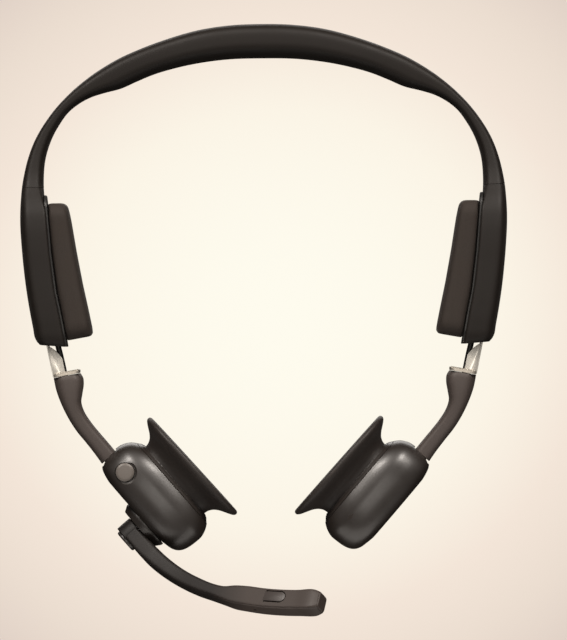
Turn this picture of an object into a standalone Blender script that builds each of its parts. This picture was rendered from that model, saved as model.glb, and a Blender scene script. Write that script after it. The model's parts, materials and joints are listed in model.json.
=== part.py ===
"""Over-head bone conduction headset with a swinging microphone boom, as an assembly of separate pieces.

Frame, in metres: +X to the right and +Z up for someone who looks at the headset's front, which faces -Y.
The origin is on the underside of the crown, where the headset sits on the head.
Most pieces come in pairs. A pair is drawn once on the right, in millimetres, as (u, y, z) with u outward
from the middle plane, and `side` places it: +1 on the right, -1 on the left. The boom is on the left.
"""

import math

import bmesh
import bpy
import numpy as np
from mathutils import Matrix, Vector

MM = 0.001
RIGHT, LEFT = 1, -1
SIDES = {"left": LEFT, "right": RIGHT}
GAP = 0.3

# ---- Headband: the outer and inner edge of the skin, crown to temple, seen from the front (u, z) --------
BAND_OUTER = [(0, 10.6), (10, 10.25), (20, 8.8), (30, 6.0), (38, 3.1), (45.15, -0.1), (50.75, -3.4),
              (54.8, -6.25), (58.35, -9.15), (61.3, -11.95), (64.25, -15.15), (67.0, -18.75), (69.5, -22.65),
              (71.45, -26.6), (73.0, -31), (74.1, -35.5), (74.8, -39.5), (75.15, -43.2)]
BAND_INNER = [(0, 0), (9.8, -0.2), (18.8, -1.2), (26.8, -2.8), (33.5, -4.7), (39.4, -7.1), (44.1, -9.15),
              (49.1, -10.4), (53.5, -11.8), (57.25, -13.85), (60.4, -16.45), (63.0, -20), (65.25, -24),
              (66.85, -28.25), (67.7, -32), (68.05, -36), (68.1, -39.8), (67.9, -43.2)]
BAND_HALF_WIDTH = [11, 11, 10.8, 10.4, 9.8, 9.1, 8.5, 8.0, 7.6, 7.3, 7.1, 7.0, 7.1, 7.4, 7.9, 8.7, 10.1, 12.2]
BAND_END = 17
# ---- Temple housing: the same skin, widened to a box that is open towards the head ------------------------
HOUSE_OUTER = [(75.35, -46.5), (75.4, -51), (75.05, -57.5), (74.5, -64), (73.7, -71), (72.7, -77.5), (71.65, -83.2),
               (70.9, -86.7), (69.8, -88.3)]
HOUSE_Z_INNER = [-46.5, -51, -57.3, -63.6, -70.2, -76.4, -82.4, -87.2, -88.95]
HOUSE_HALF_WIDTH = [13.7, 14.6, 15.0, 15.0, 15.0, 14.9, 14.6, 13.9, 12.9]
SEAM = [(-41.5, 67.3), (-47, 66.8), (-60, 65.75), (-72, 64.25), (-80, 62.6), (-87, 61.35), (-90, 60.8)]
HOUSE_WALL = 1.1
PLATE_THICK = 0.75
PLATE_TOP, PLATE_BOTTOM = -42.0, -88.9
PLATE_HALF_WIDTH = 13.2
SCREW_Z, SCREW_RADIUS = -44.2, 0.8
CUSHION_INNER = [(-44.3, 60.9), (-50.1, 59.75), (-59.6, 58.2), (-69.6, 56.35), (-77.1, 54.75), (-85.85, 52.95)]
CUSHION_TOP, CUSHION_BOTTOM = -44.35, -87.2
CUSHION_HALF_WIDTH = 13.4
CUSHION_CORNER = 5.0
# ---- Core of the band ---------------------------------------------------------------------------------
SLOT_THICK, SLOT_HALF_WIDTH = 1.6, 5.4
SPRING_THICK, SPRING_HALF_WIDTH = 0.5, 5.0
CABLE_THICK, CABLE_HALF_WIDTH = 0.35, 3.0
# ---- Slider: it runs straight through the housing's floor, at a slant -----------------------------------
SLIDER_EXIT = (67.2, -88.4)
SLIDER_SLANT = math.radians(11.5)
RAIL_TOP, RAIL_STEP, RAIL_BOTTOM = 23.6, -10.0, -15.5
RAIL_HALF_WIDTH, RAIL_THICK = 6.0, 0.8
RAIL_STEP_IN = 1.6
STOP_LENGTH, STOP_HALF_WIDTH = 1.3, 7.2
FLANGE_DEPTH, FLANGE_THICK = 3.6, 0.7
GUIDE_LOW, GUIDE_HIGH = 3.2, 5.0
# (up the rail, inwards) until it is inside the arm, then (u, z)
LEAD_ROUTE = [(18.7, 1.5), (9.0, 1.6), (4.0, 2.4), (1.0, 2.95), (-2.0, 3.1), (-5.0, 3.2), (-13.0, 3.2)]
LEAD_IN_ARM = [(60.75, -104.2), (59.4, -109.5), (56.2, -114.7), (50.8, -121.0)]
LEAD_RADIUS = 0.9
# ---- Lower arm, (outer u, z), (inner u, z), half width ----------------------------------------------------
ARM = [((65.5, -98.6), (57.15, -97.1), 6.9), ((65.35, -99.3), (56.45, -98.2), 7.2),
       ((64.9, -101.6), (56.15, -100.1), 7.3), ((63.8, -105.1), (56.6, -103.5), 7.1),
       ((62.35, -108.5), (56.95, -106.15), 6.7), ((60.65, -111.75), (56.1, -108.95), 6.2),
       ((58.35, -115.3), (54.05, -112.25), 5.7), ((55.6, -118.7), (51.55, -115.4), 5.3),
       ((52.8, -121.9), (49.2, -118.05), 5.0), ((50.6, -124.5), (46.95, -121.1), 4.8)]
# ---- Pod: a transducer housing with its own axes, t along it and downwards, n outwards ------------------
POD_CENTRE = (34.45, -135.4)
POD_SLANT = math.radians(49.2)
# n, lowest t, highest t, half width
POD_PROFILE = [(7.75, -13.0, 11.2, 8.2), (7.3, -15.2, 13.6, 9.6), (6.7, -16.9, 15.9, 10.6),
               (5.8, -18.0, 17.3, 11.5), (4.6, -18.5, 18.2, 12.2), (2.6, -18.85, 18.85, 12.8),
               (0, -19.0, 19.1, 13.0), (-2.4, -18.85, 19.1, 12.9), (-4.3, -18.1, 18.5, 12.4),
               (-5.7, -17.1, 17.7, 11.8), (-6.6, -16.1, 17.0, 11.3)]
COVER_PROFILE = [(-6.9, -15.9, 16.7, 11.1), (-7.3, -15.2, 16.0, 10.5), (-7.7, -14.2, 15.0, 9.7)]
POD_WALL = 1.3
POD_POWER = 3.0
# ---- Contact pad: a trumpet, (n, lowest t, highest t, half width); its face leans a little on the pod ----------
PAD_PROFILE = [(-8.0, -13.7, 14.0, 9.0), (-9.0, -13.85, 14.1, 9.1), (-10.3, -14.5, 14.65, 9.7),
               (-11.5, -15.8, 15.8, 10.8), (-12.5, -17.5, 17.5, 12.3), (-13.3, -18.8, 19.1, 13.6),
               (-13.9, -19.5, 20.1, 14.3), (-14.6, -19.85, 20.6, 14.6), (-15.2, -19.65, 20.4, 14.4),
               (-15.5, -19.05, 19.8, 13.8)]
PAD_LEAN = (-0.165, -0.0215)
# ---- Pod hinge on the arm's end ---------------------------------------------------------------------------
PIVOT_T, PIVOT_N = -14.6, 2.9
TONGUE_HALF_THICK, TONGUE_HALF_WIDTH = 1.7, 3.2
PIN_RADIUS, PIN_HALF_LENGTH = 0.7, 5.2
# ---- Boom, on the left pod --------------------------------------------------------------------------------
BOOM_T = 4.65
BOOM_FORWARD = math.radians(40)
BASE_PROFILE = [(0, 8.05), (8.2, 8.05), (8.1, 8.5), (7.0, 10.2), (0, 10.2)]
ROOT_RADIUS, ROOT_LOW, ROOT_HIGH = 4.7, 10.5, 15.3
AXLE_RADIUS = 1.6
AXLE_PROFILE = [(0, 4.6), (2.8, 4.6), (2.8, 5.9), (AXLE_RADIUS, 5.9), (AXLE_RADIUS, 13.5), (2.8, 13.5), (2.8, 14.6),
                (0, 14.6)]
BORE_RADIUS, BORE_FLOOR = 3.1, 12.5
WASHER = (12.8, 13.2)
CAP_PROFILE = [(0, 15.6), (3.65, 15.6), (3.65, 16.1), (3.25, 16.4), (0, 16.4)]
# distance from the pivot, n, thickness, width, power of the section
BOOM_STATIONS = [(2.5, 12.95, 4.9, 6.4, 4), (10.6, 12.7, 5.5, 6.4, 5), (19.2, 11.7, 5.15, 6.2, 5),
                 (26.6, 10.05, 4.75, 6.0, 5), (33.4, 7.8, 4.45, 6.0, 5), (39.2, 5.3, 4.2, 6.0, 5),
                 (42.7, 3.5, 4.6, 6.0, 6), (45.8, 1.4, 6.0, 6.0, 8), (49.4, -1.15, 6.5, 6.0, 9),
                 (54.5, -4.6, 6.6, 6.0, 9), (59.1, -8.1, 6.6, 6.0, 9), (63.8, -12.1, 6.6, 6.0, 9),
                 (68.5, -16.5, 6.6, 6.0, 8), (70.0, -17.9, 5.2, 4.8, 6)]
HEAD_START, HEAD_END = (50.1, -1.65), (66.1, -14.25)
# ---- Buttons ------------------------------------------------------------------------------------------------
MAIN_BUTTON = (-11.6, 1.9)
MAIN_BUTTON_RADIUS = 2.75
VOLUME_T = (-8.2, -1.4)
VOLUME_N = 1.6
MUTE_ALONG = 9.5
MIC_ALONG = 3.0

MATERIALS = {
    "soft_skin": ((0.022, 0.019, 0.017), 0.62, 0.0),
    "cushion": ((0.030, 0.025, 0.023), 0.85, 0.0),
    "arm_plastic": ((0.050, 0.042, 0.039), 0.60, 0.0),
    "pod_plastic": ((0.038, 0.033, 0.030), 0.42, 0.0),
    "silicone": ((0.026, 0.023, 0.021), 0.70, 0.0),
    "button": ((0.045, 0.039, 0.036), 0.45, 0.0),
    "bright_metal": ((0.80, 0.77, 0.72), 0.28, 1.0),
    "spring_steel": ((0.45, 0.45, 0.46), 0.30, 1.0),
    "collar_metal": ((0.72, 0.69, 0.63), 0.35, 1.0),
    "cable": ((0.015, 0.014, 0.013), 0.60, 0.0),
    "copper": ((0.72, 0.38, 0.20), 0.35, 1.0),
    "magnet": ((0.55, 0.55, 0.56), 0.25, 1.0),
    "board": ((0.02, 0.12, 0.06), 0.50, 0.0),
    "battery_wrap": ((0.35, 0.36, 0.38), 0.35, 1.0),
    "inner_plastic": ((0.06, 0.06, 0.06), 0.55, 0.0),
}


# ======================================= helpers =============================================================
def start_scene():
    """An empty scene with one collection for the headset and one for the cutters."""
    for obj in list(bpy.data.objects):
        bpy.data.objects.remove(obj)
    made = []
    for name in ("headset", "cutters"):
        collection = bpy.data.collections.new(name)
        bpy.context.scene.collection.children.link(collection)
        made.append(collection)
    return made


def make_materials():
    made = {}
    for name, (colour, roughness, metallic) in MATERIALS.items():
        material = bpy.data.materials.new(name)
        material.use_nodes = True
        shader = material.node_tree.nodes["Principled BSDF"]
        shader.inputs["Base Color"].default_value = (*colour, 1)
        shader.inputs["Roughness"].default_value = roughness
        shader.inputs["Metallic"].default_value = metallic
        material.diffuse_color = (*colour, 1)
        made[name] = material
    return made


def to_object(name, bm, collection):
    """A mesh object from millimetres in the frame."""
    bmesh.ops.remove_doubles(bm, verts=bm.verts, dist=1e-4)
    bmesh.ops.recalc_face_normals(bm, faces=bm.faces)
    bmesh.ops.scale(bm, vec=(MM, MM, MM), verts=bm.verts)
    mesh = bpy.data.meshes.new(name)
    bm.to_mesh(mesh)
    bm.free()
    obj = bpy.data.objects.new(name, mesh)
    collection.objects.link(obj)
    return obj


def loft(rings):
    """A closed solid through rings of equally many points."""
    bm = bmesh.new()
    rows = [[bm.verts.new(p) for p in ring] for ring in rings]
    count = len(rows[0])
    for low, high in zip(rows, rows[1:]):
        for k in range(count):
            bm.faces.new((low[k], low[(k + 1) % count], high[(k + 1) % count], high[k]))
    bm.faces.new(rows[0])
    bm.faces.new(rows[-1])
    return bm


def oval(half_a, half_b, power, count, low_power=None):
    """Points round a superellipse; power 2 is an ellipse, and a high power is a rounded box.

    The half on the low side of a may have a power of its own.
    """
    high_power = power
    found = []
    for k in range(count):
        angle = 2 * math.pi * (k + 0.5) / count
        c, s = math.cos(angle), math.sin(angle)
        power = low_power if low_power and c < 0 else high_power
        found.append((half_a * math.copysign(abs(c) ** (2 / power), c),
                      half_b * math.copysign(abs(s) ** (2 / power), s)))
    return found


def rectangle(half_a, half_b):
    return [(half_a, half_b), (-half_a, half_b), (-half_a, -half_b), (half_a, -half_b)]


def section(outer, inner, points, side):
    """A ring across the line from the outer to the inner edge; its second coordinate is y."""
    outer, inner = np.array(outer, float), np.array(inner, float)
    centre = (outer + inner) / 2
    along = (outer - inner) / np.linalg.norm(outer - inner)
    return [(side * (centre[0] + a * along[0]), y, centre[1] + a * along[1]) for a, y in points]


def prism(outline, place, low, high):
    """A flat outline (a, b) pulled from low to high along the third axis of place(a, b, c)."""
    return loft([[place(a, b, c) for a, b in outline] for c in (low, high)])


def block(place, a, b, c):
    """A box given by its ranges along the three axes of place."""
    return prism([(a[0], b[0]), (a[1], b[0]), (a[1], b[1]), (a[0], b[1])], place, *c)


def cylinder(place, radius, low, high, count=24, centre=(0, 0)):
    """A cylinder whose axis is the third axis of place."""
    outline = [(centre[0] + x, centre[1] + y) for x, y in oval(radius, radius, 2, count)]
    return prism(outline, place, low, high)


def turned(place, profile, count=28):
    """A profile (radius, height) turned round the third axis of place; it starts and ends on the axis."""
    bm = bmesh.new()
    rings = []
    for radius, height in profile:
        if radius == 0:
            rings.append([bm.verts.new(place(0, 0, height))] * count)
        else:
            rings.append([bm.verts.new(place(x, y, height)) for x, y in oval(radius, radius, 2, count)])
    for low, high in zip(rings, rings[1:]):
        for k in range(count):
            corners = (low[k], low[(k + 1) % count], high[(k + 1) % count], high[k])
            bm.faces.new(list(dict.fromkeys(corners)))
    return bm


class Kit:
    """Names, places and finishes each piece."""

    def __init__(self):
        self.pieces, self.cutters = start_scene()
        self.materials = make_materials()
        self.joints = {}

    def joint(self, name, place):
        """An empty on a joint's axis, which the pieces that move with it have as their parent."""
        empty = bpy.data.objects.new(name, None)
        empty.location = Vector(place) * MM
        empty.empty_display_size = 0.005
        self.pieces.objects.link(empty)
        self.joints[name] = empty
        return name

    def piece(self, name, bm, material, joint=None, cut=(), join=()):
        """One named solid, with the shapes in join added and those in cut taken away."""
        obj = to_object(name, bm, self.pieces)
        for index, (operation, others) in enumerate((("UNION", join), ("DIFFERENCE", cut))):
            for number, other in enumerate(others):
                helper = to_object(f"{name}_helper_{index}_{number}", other, self.cutters)
                helper.hide_render = True
                helper.display_type = "WIRE"
                modifier = obj.modifiers.new(f"{operation.lower()}_{number}", "BOOLEAN")
                modifier.operation = operation
                modifier.object = helper
        obj.data.materials.append(self.materials[material])
        obj.data.shade_smooth()
        obj.data.set_sharp_from_angle(angle=math.radians(35))
        if joint:
            origin = self.joints[joint].location
            obj.data.transform(Matrix.Translation(-origin))
            obj.parent = self.joints[joint]
            for modifier in obj.modifiers:
                modifier.object.location = (0, 0, 0)
        return obj


def seam(z):
    """How far out the joint face between the housing and the cushion is, at a height."""
    heights, outs = zip(*sorted(SEAM))
    return float(np.interp(z, heights, outs))


def rounded_width(full, corner, distance):
    """Half width of an outline with round corners, at a distance from its end."""
    if distance >= corner:
        return full
    return full - corner + math.sqrt(max(corner**2 - (corner - distance) ** 2, 0))


def slider_place(side):
    """Axes of a slider: s up the rail, y, b inwards from the rail's middle."""
    c, s = math.cos(SLIDER_SLANT), math.sin(SLIDER_SLANT)
    return lambda a, b, y: (side * (SLIDER_EXIT[0] + a * s - b * c), y, SLIDER_EXIT[1] + a * c + b * s)


def pod_place(side):
    """Axes of a pod: t along it, y, n outwards."""
    c, s = math.cos(POD_SLANT), math.sin(POD_SLANT)
    return lambda t, y, n: (side * (POD_CENTRE[0] - t * c + n * s), y, POD_CENTRE[1] - t * s - n * c)


def boom_place():
    """Axes of the boom: r outwards from its pivot in the swing plane, b across towards the front, n as the pod's."""
    pod = pod_place(LEFT)
    c, s = math.cos(BOOM_FORWARD), math.sin(BOOM_FORWARD)
    return lambda r, b, n: pod(BOOM_T + r * c - b * s, -r * s - b * c, n)


def head_place():
    """Axes of the microphone head: x along it, b towards the front, m outwards."""
    boom = boom_place()
    start, end = np.array(HEAD_START), np.array(HEAD_END)
    along = (end - start) / np.linalg.norm(end - start)
    across = np.array((-along[1], along[0]))

    def place(x, b, m):
        r, n = start + x * along + m * across
        return boom(r, b, n)

    return place


HEAD_LENGTH = math.dist(HEAD_START, HEAD_END)


def swapped(place):
    """The same axes with y as the third, to pull a t-n outline along y."""
    return lambda a, b, c: place(a, c, b)


# ======================================= headband ==============================================================
def arch_stations():
    """(outer, inner, half width, power) down the band and its temple housing."""
    found = [(o, i, w, 2.6) for o, i, w in zip(BAND_OUTER, BAND_INNER, BAND_HALF_WIDTH)]
    found[-2] = (*found[-2][:3], 2.9)
    found[-1] = (*found[-1][:3], 3.3)
    for outer, z, width in zip(HOUSE_OUTER, HOUSE_Z_INNER, HOUSE_HALF_WIDTH):
        found.append((outer, (seam(z) + PLATE_THICK + GAP, z), width, 4.0))
    return found


def skin_points(outer, inner, width, power):
    """A rounded section; a housing's walls run straight to its plate, so its inner half is a box."""
    return oval(math.dist(outer, inner) / 2, width, power, 24, 14 if power == 4.0 else None)


def arch_rings(points_of, stations):
    """Rings from the left end over the crown to the right end."""
    left = [section(o, i, points_of(o, i, w, p), LEFT) for o, i, w, p in reversed(stations)]
    right = [section(o, i, points_of(o, i, w, p), RIGHT) for o, i, w, p in stations[1:]]
    return left + right


def core(thick, half_width, offset, end):
    """A flat strip in the middle of the band and of the housings' tops; offset moves it outwards."""
    def points_of(outer, inner, width, power):
        return [(offset + a, y) for a, y in rectangle(thick / 2, half_width)]

    return loft(arch_rings(points_of, arch_stations()[:end]))


def housing_cavity(side):
    """The hollow of a temple housing, open towards the head."""
    rings = []
    for outer, z, width in list(zip(HOUSE_OUTER, HOUSE_Z_INNER, HOUSE_HALF_WIDTH))[:-1]:
        lift = 0.6 if z < -87 else 0
        out = (outer[0] - HOUSE_WALL, outer[1] + lift)
        inner = (seam(z) - 3.0, z + lift)
        rings.append(section(out, inner, oval(math.dist(out, inner) / 2, width - HOUSE_WALL, 5, 16), side))
    return loft(rings)


def make_band(kit):
    """The skin over the crown, and the steel strip and flat cable in its core."""
    slot = (SLOT_THICK, SLOT_HALF_WIDTH, 0, BAND_END + 3)
    skin = loft(arch_rings(skin_points, arch_stations()[:BAND_END]))
    kit.piece("headband_skin", skin, "soft_skin", cut=[core(*slot)])
    for tag, side in SIDES.items():
        stations = arch_stations()[BAND_END:]
        first = stations[0]
        start = ((first[0][0] - 0.25, BAND_OUTER[BAND_END - 1][1] - GAP - 0.1),
                 (first[1][0] + 0.2, BAND_INNER[BAND_END - 1][1] - GAP), 10.3, 2.9)
        rings = [section(o, i, skin_points(o, i, w, p), side) for o, i, w, p in [start] + stations]
        reach = (-RAIL_HALF_WIDTH - 0.5, RAIL_HALF_WIDTH + 0.5)
        floor = block(slider_place(side), (-3.5, 6.5), (-RAIL_THICK / 2 - 0.4, FLANGE_DEPTH + 1.1), reach)
        cuts = [core(*slot), housing_cavity(side), floor, plate_screw(side, SCREW_RADIUS + GAP, -1, 2.5)]
        if side == LEFT:
            cuts.append(block(socket_place, (-4.7, 4.7), (-1.8, 1.8), (7.0, 18)))
        kit.piece(f"temple_housing_{tag}", loft(rings), "soft_skin", cut=cuts)
    kit.piece("band_spring_strip", core(SPRING_THICK, SPRING_HALF_WIDTH, 0.4, BAND_END + 2), "spring_steel")
    kit.piece("band_flat_cable", core(CABLE_THICK, CABLE_HALF_WIDTH, -0.4, BAND_END + 2), "cable")


def plate_rings(side):
    """The plate that closes a housing and carries the cushion; it stands proud of it at the top and bottom."""
    rings = []
    depth = PLATE_TOP - PLATE_BOTTOM
    for share in (0, 0.012, 0.04, 0.1, 0.3, 0.5, 0.7, 0.88, 0.96, 0.988, 1):
        z = PLATE_TOP - depth * share
        width = rounded_width(PLATE_HALF_WIDTH, 5.0, min(share, 1 - share) * depth + 0.9)
        outer = (seam(z) + PLATE_THICK, z)
        rings.append(section(outer, (seam(z), z), rectangle(PLATE_THICK / 2, width), side))
    return rings


def cushion_rings(side):
    """A firm foam pad with round corners; its inner face is slightly hollow to suit the head."""
    heights, inners = zip(*sorted(CUSHION_INNER))
    rings = []
    length = CUSHION_TOP - CUSHION_BOTTOM
    for share in (0, 0.012, 0.04, 0.1, 0.22, 0.36, 0.5, 0.64, 0.78, 0.9, 0.96, 0.988, 1):
        z_out = CUSHION_TOP - length * share
        z_in = CUSHION_INNER[0][0] + (CUSHION_INNER[-1][0] - CUSHION_INNER[0][0]) * share
        edge = min(share, 1 - share) * length
        width = rounded_width(CUSHION_HALF_WIDTH, CUSHION_CORNER, edge + 0.5)
        inner = (float(np.interp(z_in, heights, inners)) + max(0.0, 1.0 - edge) * 0.9, z_in)
        outer = (seam(z_out) - GAP, z_out)
        rings.append(section(outer, inner, oval(math.dist(outer, inner) / 2, width, 5, 16), side))
    return rings


def plate_screw(side, radius, low, high):
    """A screw, or its hole, square to the plate; low and high are measured outwards from the cushion's side."""
    return cylinder(lambda a, b, c: (side * (seam(SCREW_Z) + c), a, SCREW_Z + b), radius, low, high, 12)


def make_temple(kit, tag, side):
    hole = plate_screw(side, SCREW_RADIUS + GAP, -3, 3)
    kit.piece(f"temple_plate_{tag}", loft(plate_rings(side)), "inner_plastic", cut=[hole])
    kit.piece(f"temple_cushion_{tag}", loft(cushion_rings(side)), "cushion")
    kit.piece(f"plate_screw_{tag}", plate_screw(side, SCREW_RADIUS, 0.1, 2.2), "spring_steel")
    width = RAIL_HALF_WIDTH + GAP
    hole = block(slider_place(side), (0, 9), (-RAIL_THICK / 2 - GAP, FLANGE_DEPTH + 0.7), (-width, width))
    guide = block(slider_place(side), (GUIDE_LOW, GUIDE_HIGH), (-1.3, FLANGE_DEPTH + 1.3), (-9, 9))
    kit.piece(f"slider_guide_{tag}", guide, "inner_plastic", cut=[hole])


def inside_place(side):
    """Axes in a temple housing: a up and along the plate, b outwards, y."""
    c, s = math.cos(math.radians(6)), math.sin(math.radians(6))
    return lambda a, b, y: (side * (68.5 + a * s + b * c), y, -58.0 + a * c - b * s)


def socket_place(a, b, c):
    """Axes of the charging socket in the left temple's rear wall: a up, b outwards, c rearwards."""
    return (LEFT * (68.1 + b), c, -78.5 + a)


def make_electronics(kit):
    """The battery is in the right temple, and the main board with the charging socket in the left."""
    kit.piece("battery_right", block(inside_place(RIGHT), (-9, 9), (-1.4, 1.4), (-10.5, 10.5)), "battery_wrap")
    kit.piece("main_board_left", block(inside_place(LEFT), (-9, 9), (-1.4, -0.7), (-11, 11)), "board")
    kit.piece("bluetooth_chip_left", block(inside_place(LEFT), (-3, 4), (-0.4, 0.7), (-6, 2)), "inner_plastic")
    mouth = block(socket_place, (-4.1, 4.1), (-1.2, 1.2), (8.6, 16))
    shell = block(socket_place, (-4.4, 4.4), (-1.5, 1.5), (7.9, 14.2))
    kit.piece("charge_socket_left", shell, "bright_metal", cut=[mouth])


# ======================================= slider and arm ========================================================
def tube(points, radius, side, count=8):
    """A round lead through points (u, z) in the middle plane of the arm."""
    points = np.array(points, float)
    ways = np.gradient(points, axis=0)
    rings = []
    for (u, z), way in zip(points, ways):
        way = way / np.linalg.norm(way)
        rings.append([(side * (u - a * way[1]), b, z + a * way[0]) for a, b in oval(radius, radius, 2, count)])
    return loft(rings)


def lead_points():
    place = slider_place(RIGHT)
    down_the_rail = [(place(a, b, 0)[0], place(a, b, 0)[2]) for a, b in LEAD_ROUTE]
    return down_the_rail + LEAD_IN_ARM


def rail_parts(side):
    """The rail's strip with its stop at the top, its lower strip stepped inwards, and its two flanges."""
    place = slider_place(side)
    half = RAIL_THICK / 2
    width = (-RAIL_HALF_WIDTH, RAIL_HALF_WIDTH)
    strip = block(place, (RAIL_STEP, RAIL_TOP), (-half, half), width)
    stop = block(place, (RAIL_TOP - STOP_LENGTH, RAIL_TOP), (-half, half + 0.01), (-STOP_HALF_WIDTH, STOP_HALF_WIDTH))
    step = RAIL_STEP_IN
    lower = block(place, (RAIL_BOTTOM, RAIL_STEP + 1), (step - half, step + half), width)
    outline = [(-0.6, -0.1), (-0.7, 0.4), (-1.6, 1.4), (-3.0, 2.6), (-4.8, FLANGE_DEPTH), (RAIL_BOTTOM, FLANGE_DEPTH),
               (RAIL_BOTTOM, step), (RAIL_STEP + 0.1, step), (RAIL_STEP + 0.1, -0.1)]
    flanges = []
    for end in (-1, 1):
        out = end * (RAIL_HALF_WIDTH + 0.02)
        flanges.append(prism(outline, place, *sorted((out, out - end * FLANGE_THICK))))
    return strip, [stop, lower] + flanges


def arm_rings(side):
    rings = []
    for number, (outer, inner, width) in enumerate(ARM):
        rings.append(section(outer, inner, oval(math.dist(outer, inner) / 2, width, 3.2, 20), side))
    return rings


def tongue(side, clearance=0.0, length=4.9):
    """The arm's tongue, with a round end on the pivot; with a clearance it is a slot."""
    radius = TONGUE_HALF_THICK + clearance
    outline = [(PIVOT_T - length, PIVOT_N - radius), (PIVOT_T - length, PIVOT_N + radius)]
    for k in range(9):
        angle = math.pi / 2 - math.pi * k / 8
        outline.append((PIVOT_T + radius * math.cos(angle), PIVOT_N + radius * math.sin(angle)))
    width = TONGUE_HALF_WIDTH + (GAP if clearance else 0)
    return prism(outline, swapped(pod_place(side)), -width, width)


def pivot_cylinder(side, radius, half_length, count=16):
    """A cylinder on the pod's hinge axis."""
    place = pod_place(side)
    return cylinder(lambda a, b, c: place(a, c, b), radius, -half_length, half_length, count, (PIVOT_T, PIVOT_N))


def make_slider(kit, tag, side):
    """The rail, its collar and the lower arm, which slide as one."""
    place = slider_place(side)
    joint = kit.joint(f"slider_{tag}_axis", place(0, 0, 0))
    strip, more = rail_parts(side)
    kit.piece(f"slider_rail_{tag}", strip, "bright_metal", joint, join=more)
    kit.piece(f"slider_lead_{tag}", tube(lead_points(), LEAD_RADIUS, side), "cable", joint)

    width = RAIL_HALF_WIDTH + GAP
    collar_top = [((64.85, -97.15), (57.55, -95.8), 6.9), ((65.4, -97.35), (57.3, -95.95), 7.1),
                  ((65.5, -98.3), (57.2, -96.8), 7.15)]
    rings = [section(o, i, oval(math.dist(o, i) / 2, w, 3.2, 20), side) for o, i, w in collar_top]
    notch = block(place, (-13, -5), (-3, FLANGE_DEPTH + 0.9), (-width, width))
    kit.piece(f"arm_collar_{tag}", loft(rings), "collar_metal", joint, cut=[notch])

    socket = block(place, (RAIL_BOTTOM - GAP, -5), (RAIL_STEP_IN - RAIL_THICK / 2 - GAP, FLANGE_DEPTH + 0.9),
                   (-width, width))
    bore = tube(lead_points(), LEAD_RADIUS + GAP, side)
    hole = pivot_cylinder(side, PIN_RADIUS + GAP, 9)
    kit.piece(f"lower_arm_{tag}", loft(arm_rings(side)), "arm_plastic", joint, join=[tongue(side)],
              cut=[socket, bore, hole])
    kit.piece(f"pod_hinge_pin_{tag}", pivot_cylinder(side, PIN_RADIUS, PIN_HALF_LENGTH), "spring_steel", joint)


# ======================================= pods ==================================================================
def pod_rings(profile, side, power=POD_POWER, shrink=0.0, count=28):
    place = pod_place(side)
    rings = []
    for n, low, high, width in profile:
        middle, half = (low + high) / 2, (high - low) / 2
        rings.append([place(middle + a, b, n) for a, b in oval(half - shrink, width - shrink, power, count)])
    return rings


def pod_cavity(side):
    """The hollow of a pod shell, open where its cover closes it."""
    inner = [row for row in POD_PROFILE if row[0] < 6.3]
    top = (POD_PROFILE[0][0] - POD_WALL, *POD_PROFILE[2][1:])
    mouth = (-8.0, *POD_PROFILE[-1][1:])
    return loft(pod_rings([top] + inner + [mouth], side, POD_POWER, POD_WALL, 20))


def pad_rings(side):
    """Rings of a contact pad; the lean grows from nothing at its neck to the whole at its face."""
    place = pod_place(side)
    rings = []
    for n, low, high, width in PAD_PROFILE:
        middle, half = (low + high) / 2, (high - low) / 2
        share = (PAD_PROFILE[0][0] - n) / (PAD_PROFILE[0][0] - PAD_PROFILE[-1][0])
        ring = [(middle + a, b) for a, b in oval(half, width, 2.3, 28)]
        rings.append([place(t, b, n + share * (PAD_LEAN[0] + PAD_LEAN[1] * t)) for t, b in ring])
    return rings


def make_pod(kit, tag, side):
    """A pod's shell, cover, contact pad and bone conduction transducer, which tilt as one on the arm."""
    place = pod_place(side)
    joint = kit.joint(f"pod_{tag}_axis", place(PIVOT_T, 0, PIVOT_N))
    boss = block(swapped(place), (PIVOT_T - 2.9, PIVOT_T + 2.7), (PIVOT_N - 2.3, 6.9), (-5.7, 5.7))
    cuts = [tongue(side, 0.75, 9), pivot_cylinder(side, PIN_RADIUS + GAP, PIN_HALF_LENGTH + GAP),
            block(swapped(place), (-23, -17.5), (-0.75, 6.15), (-5.6, 5.6))]
    if side == LEFT:
        cuts.append(cylinder(place_about_n(place, BOOM_T), AXLE_RADIUS + GAP, 5, 9, 20))
        cuts.append(cylinder(main_button_place, MAIN_BUTTON_RADIUS + GAP, 4, 20, 20))
        for t in VOLUME_T:
            cuts.append(block(place, (t - 2.9, t + 2.9), (7.5, 18), (VOLUME_N - 1.6, VOLUME_N + 1.6)))
    shell = cut_first(kit, loft(pod_rings(POD_PROFILE, side)), [pod_cavity(side)])
    kit.piece(f"pod_shell_{tag}", shell, "pod_plastic", joint, join=[boss], cut=cuts)
    kit.piece(f"pod_cover_{tag}", loft(pod_rings(COVER_PROFILE, side)), "pod_plastic", joint)
    kit.piece(f"contact_pad_{tag}", loft(pad_rings(side)), "silicone", joint)
    make_transducer(kit, tag, side, joint)


def make_transducer(kit, tag, side, joint):
    """A plate that shakes the cover, and a yoke, a magnet and a coil behind it."""
    place = place_about_n(pod_place(side), BOOM_T)
    yoke = [(0, 2.8), (7.6, 2.8), (7.6, -4.2), (6.9, -4.2), (6.9, 1.6), (0, 1.6)]
    kit.piece(f"transducer_yoke_{tag}", turned(place, yoke), "spring_steel", joint)
    kit.piece(f"transducer_magnet_{tag}", cylinder(place, 4.9, -3.8, 1.3, 20), "magnet", joint)
    coil = cylinder(place, 6.4, -4.6, -0.6, 20)
    kit.piece(f"voice_coil_{tag}", coil, "copper", joint, cut=[cylinder(place, 5.3, -6, 1, 20)])
    kit.piece(f"transducer_plate_{tag}", cylinder(place, 8.6, -6.2, -5.1, 24), "spring_steel", joint)


def place_about_n(place, t):
    """Axes about a pod's n axis at a distance t along it, with n third."""
    return lambda a, b, c: place(t + a, b, c)


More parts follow.
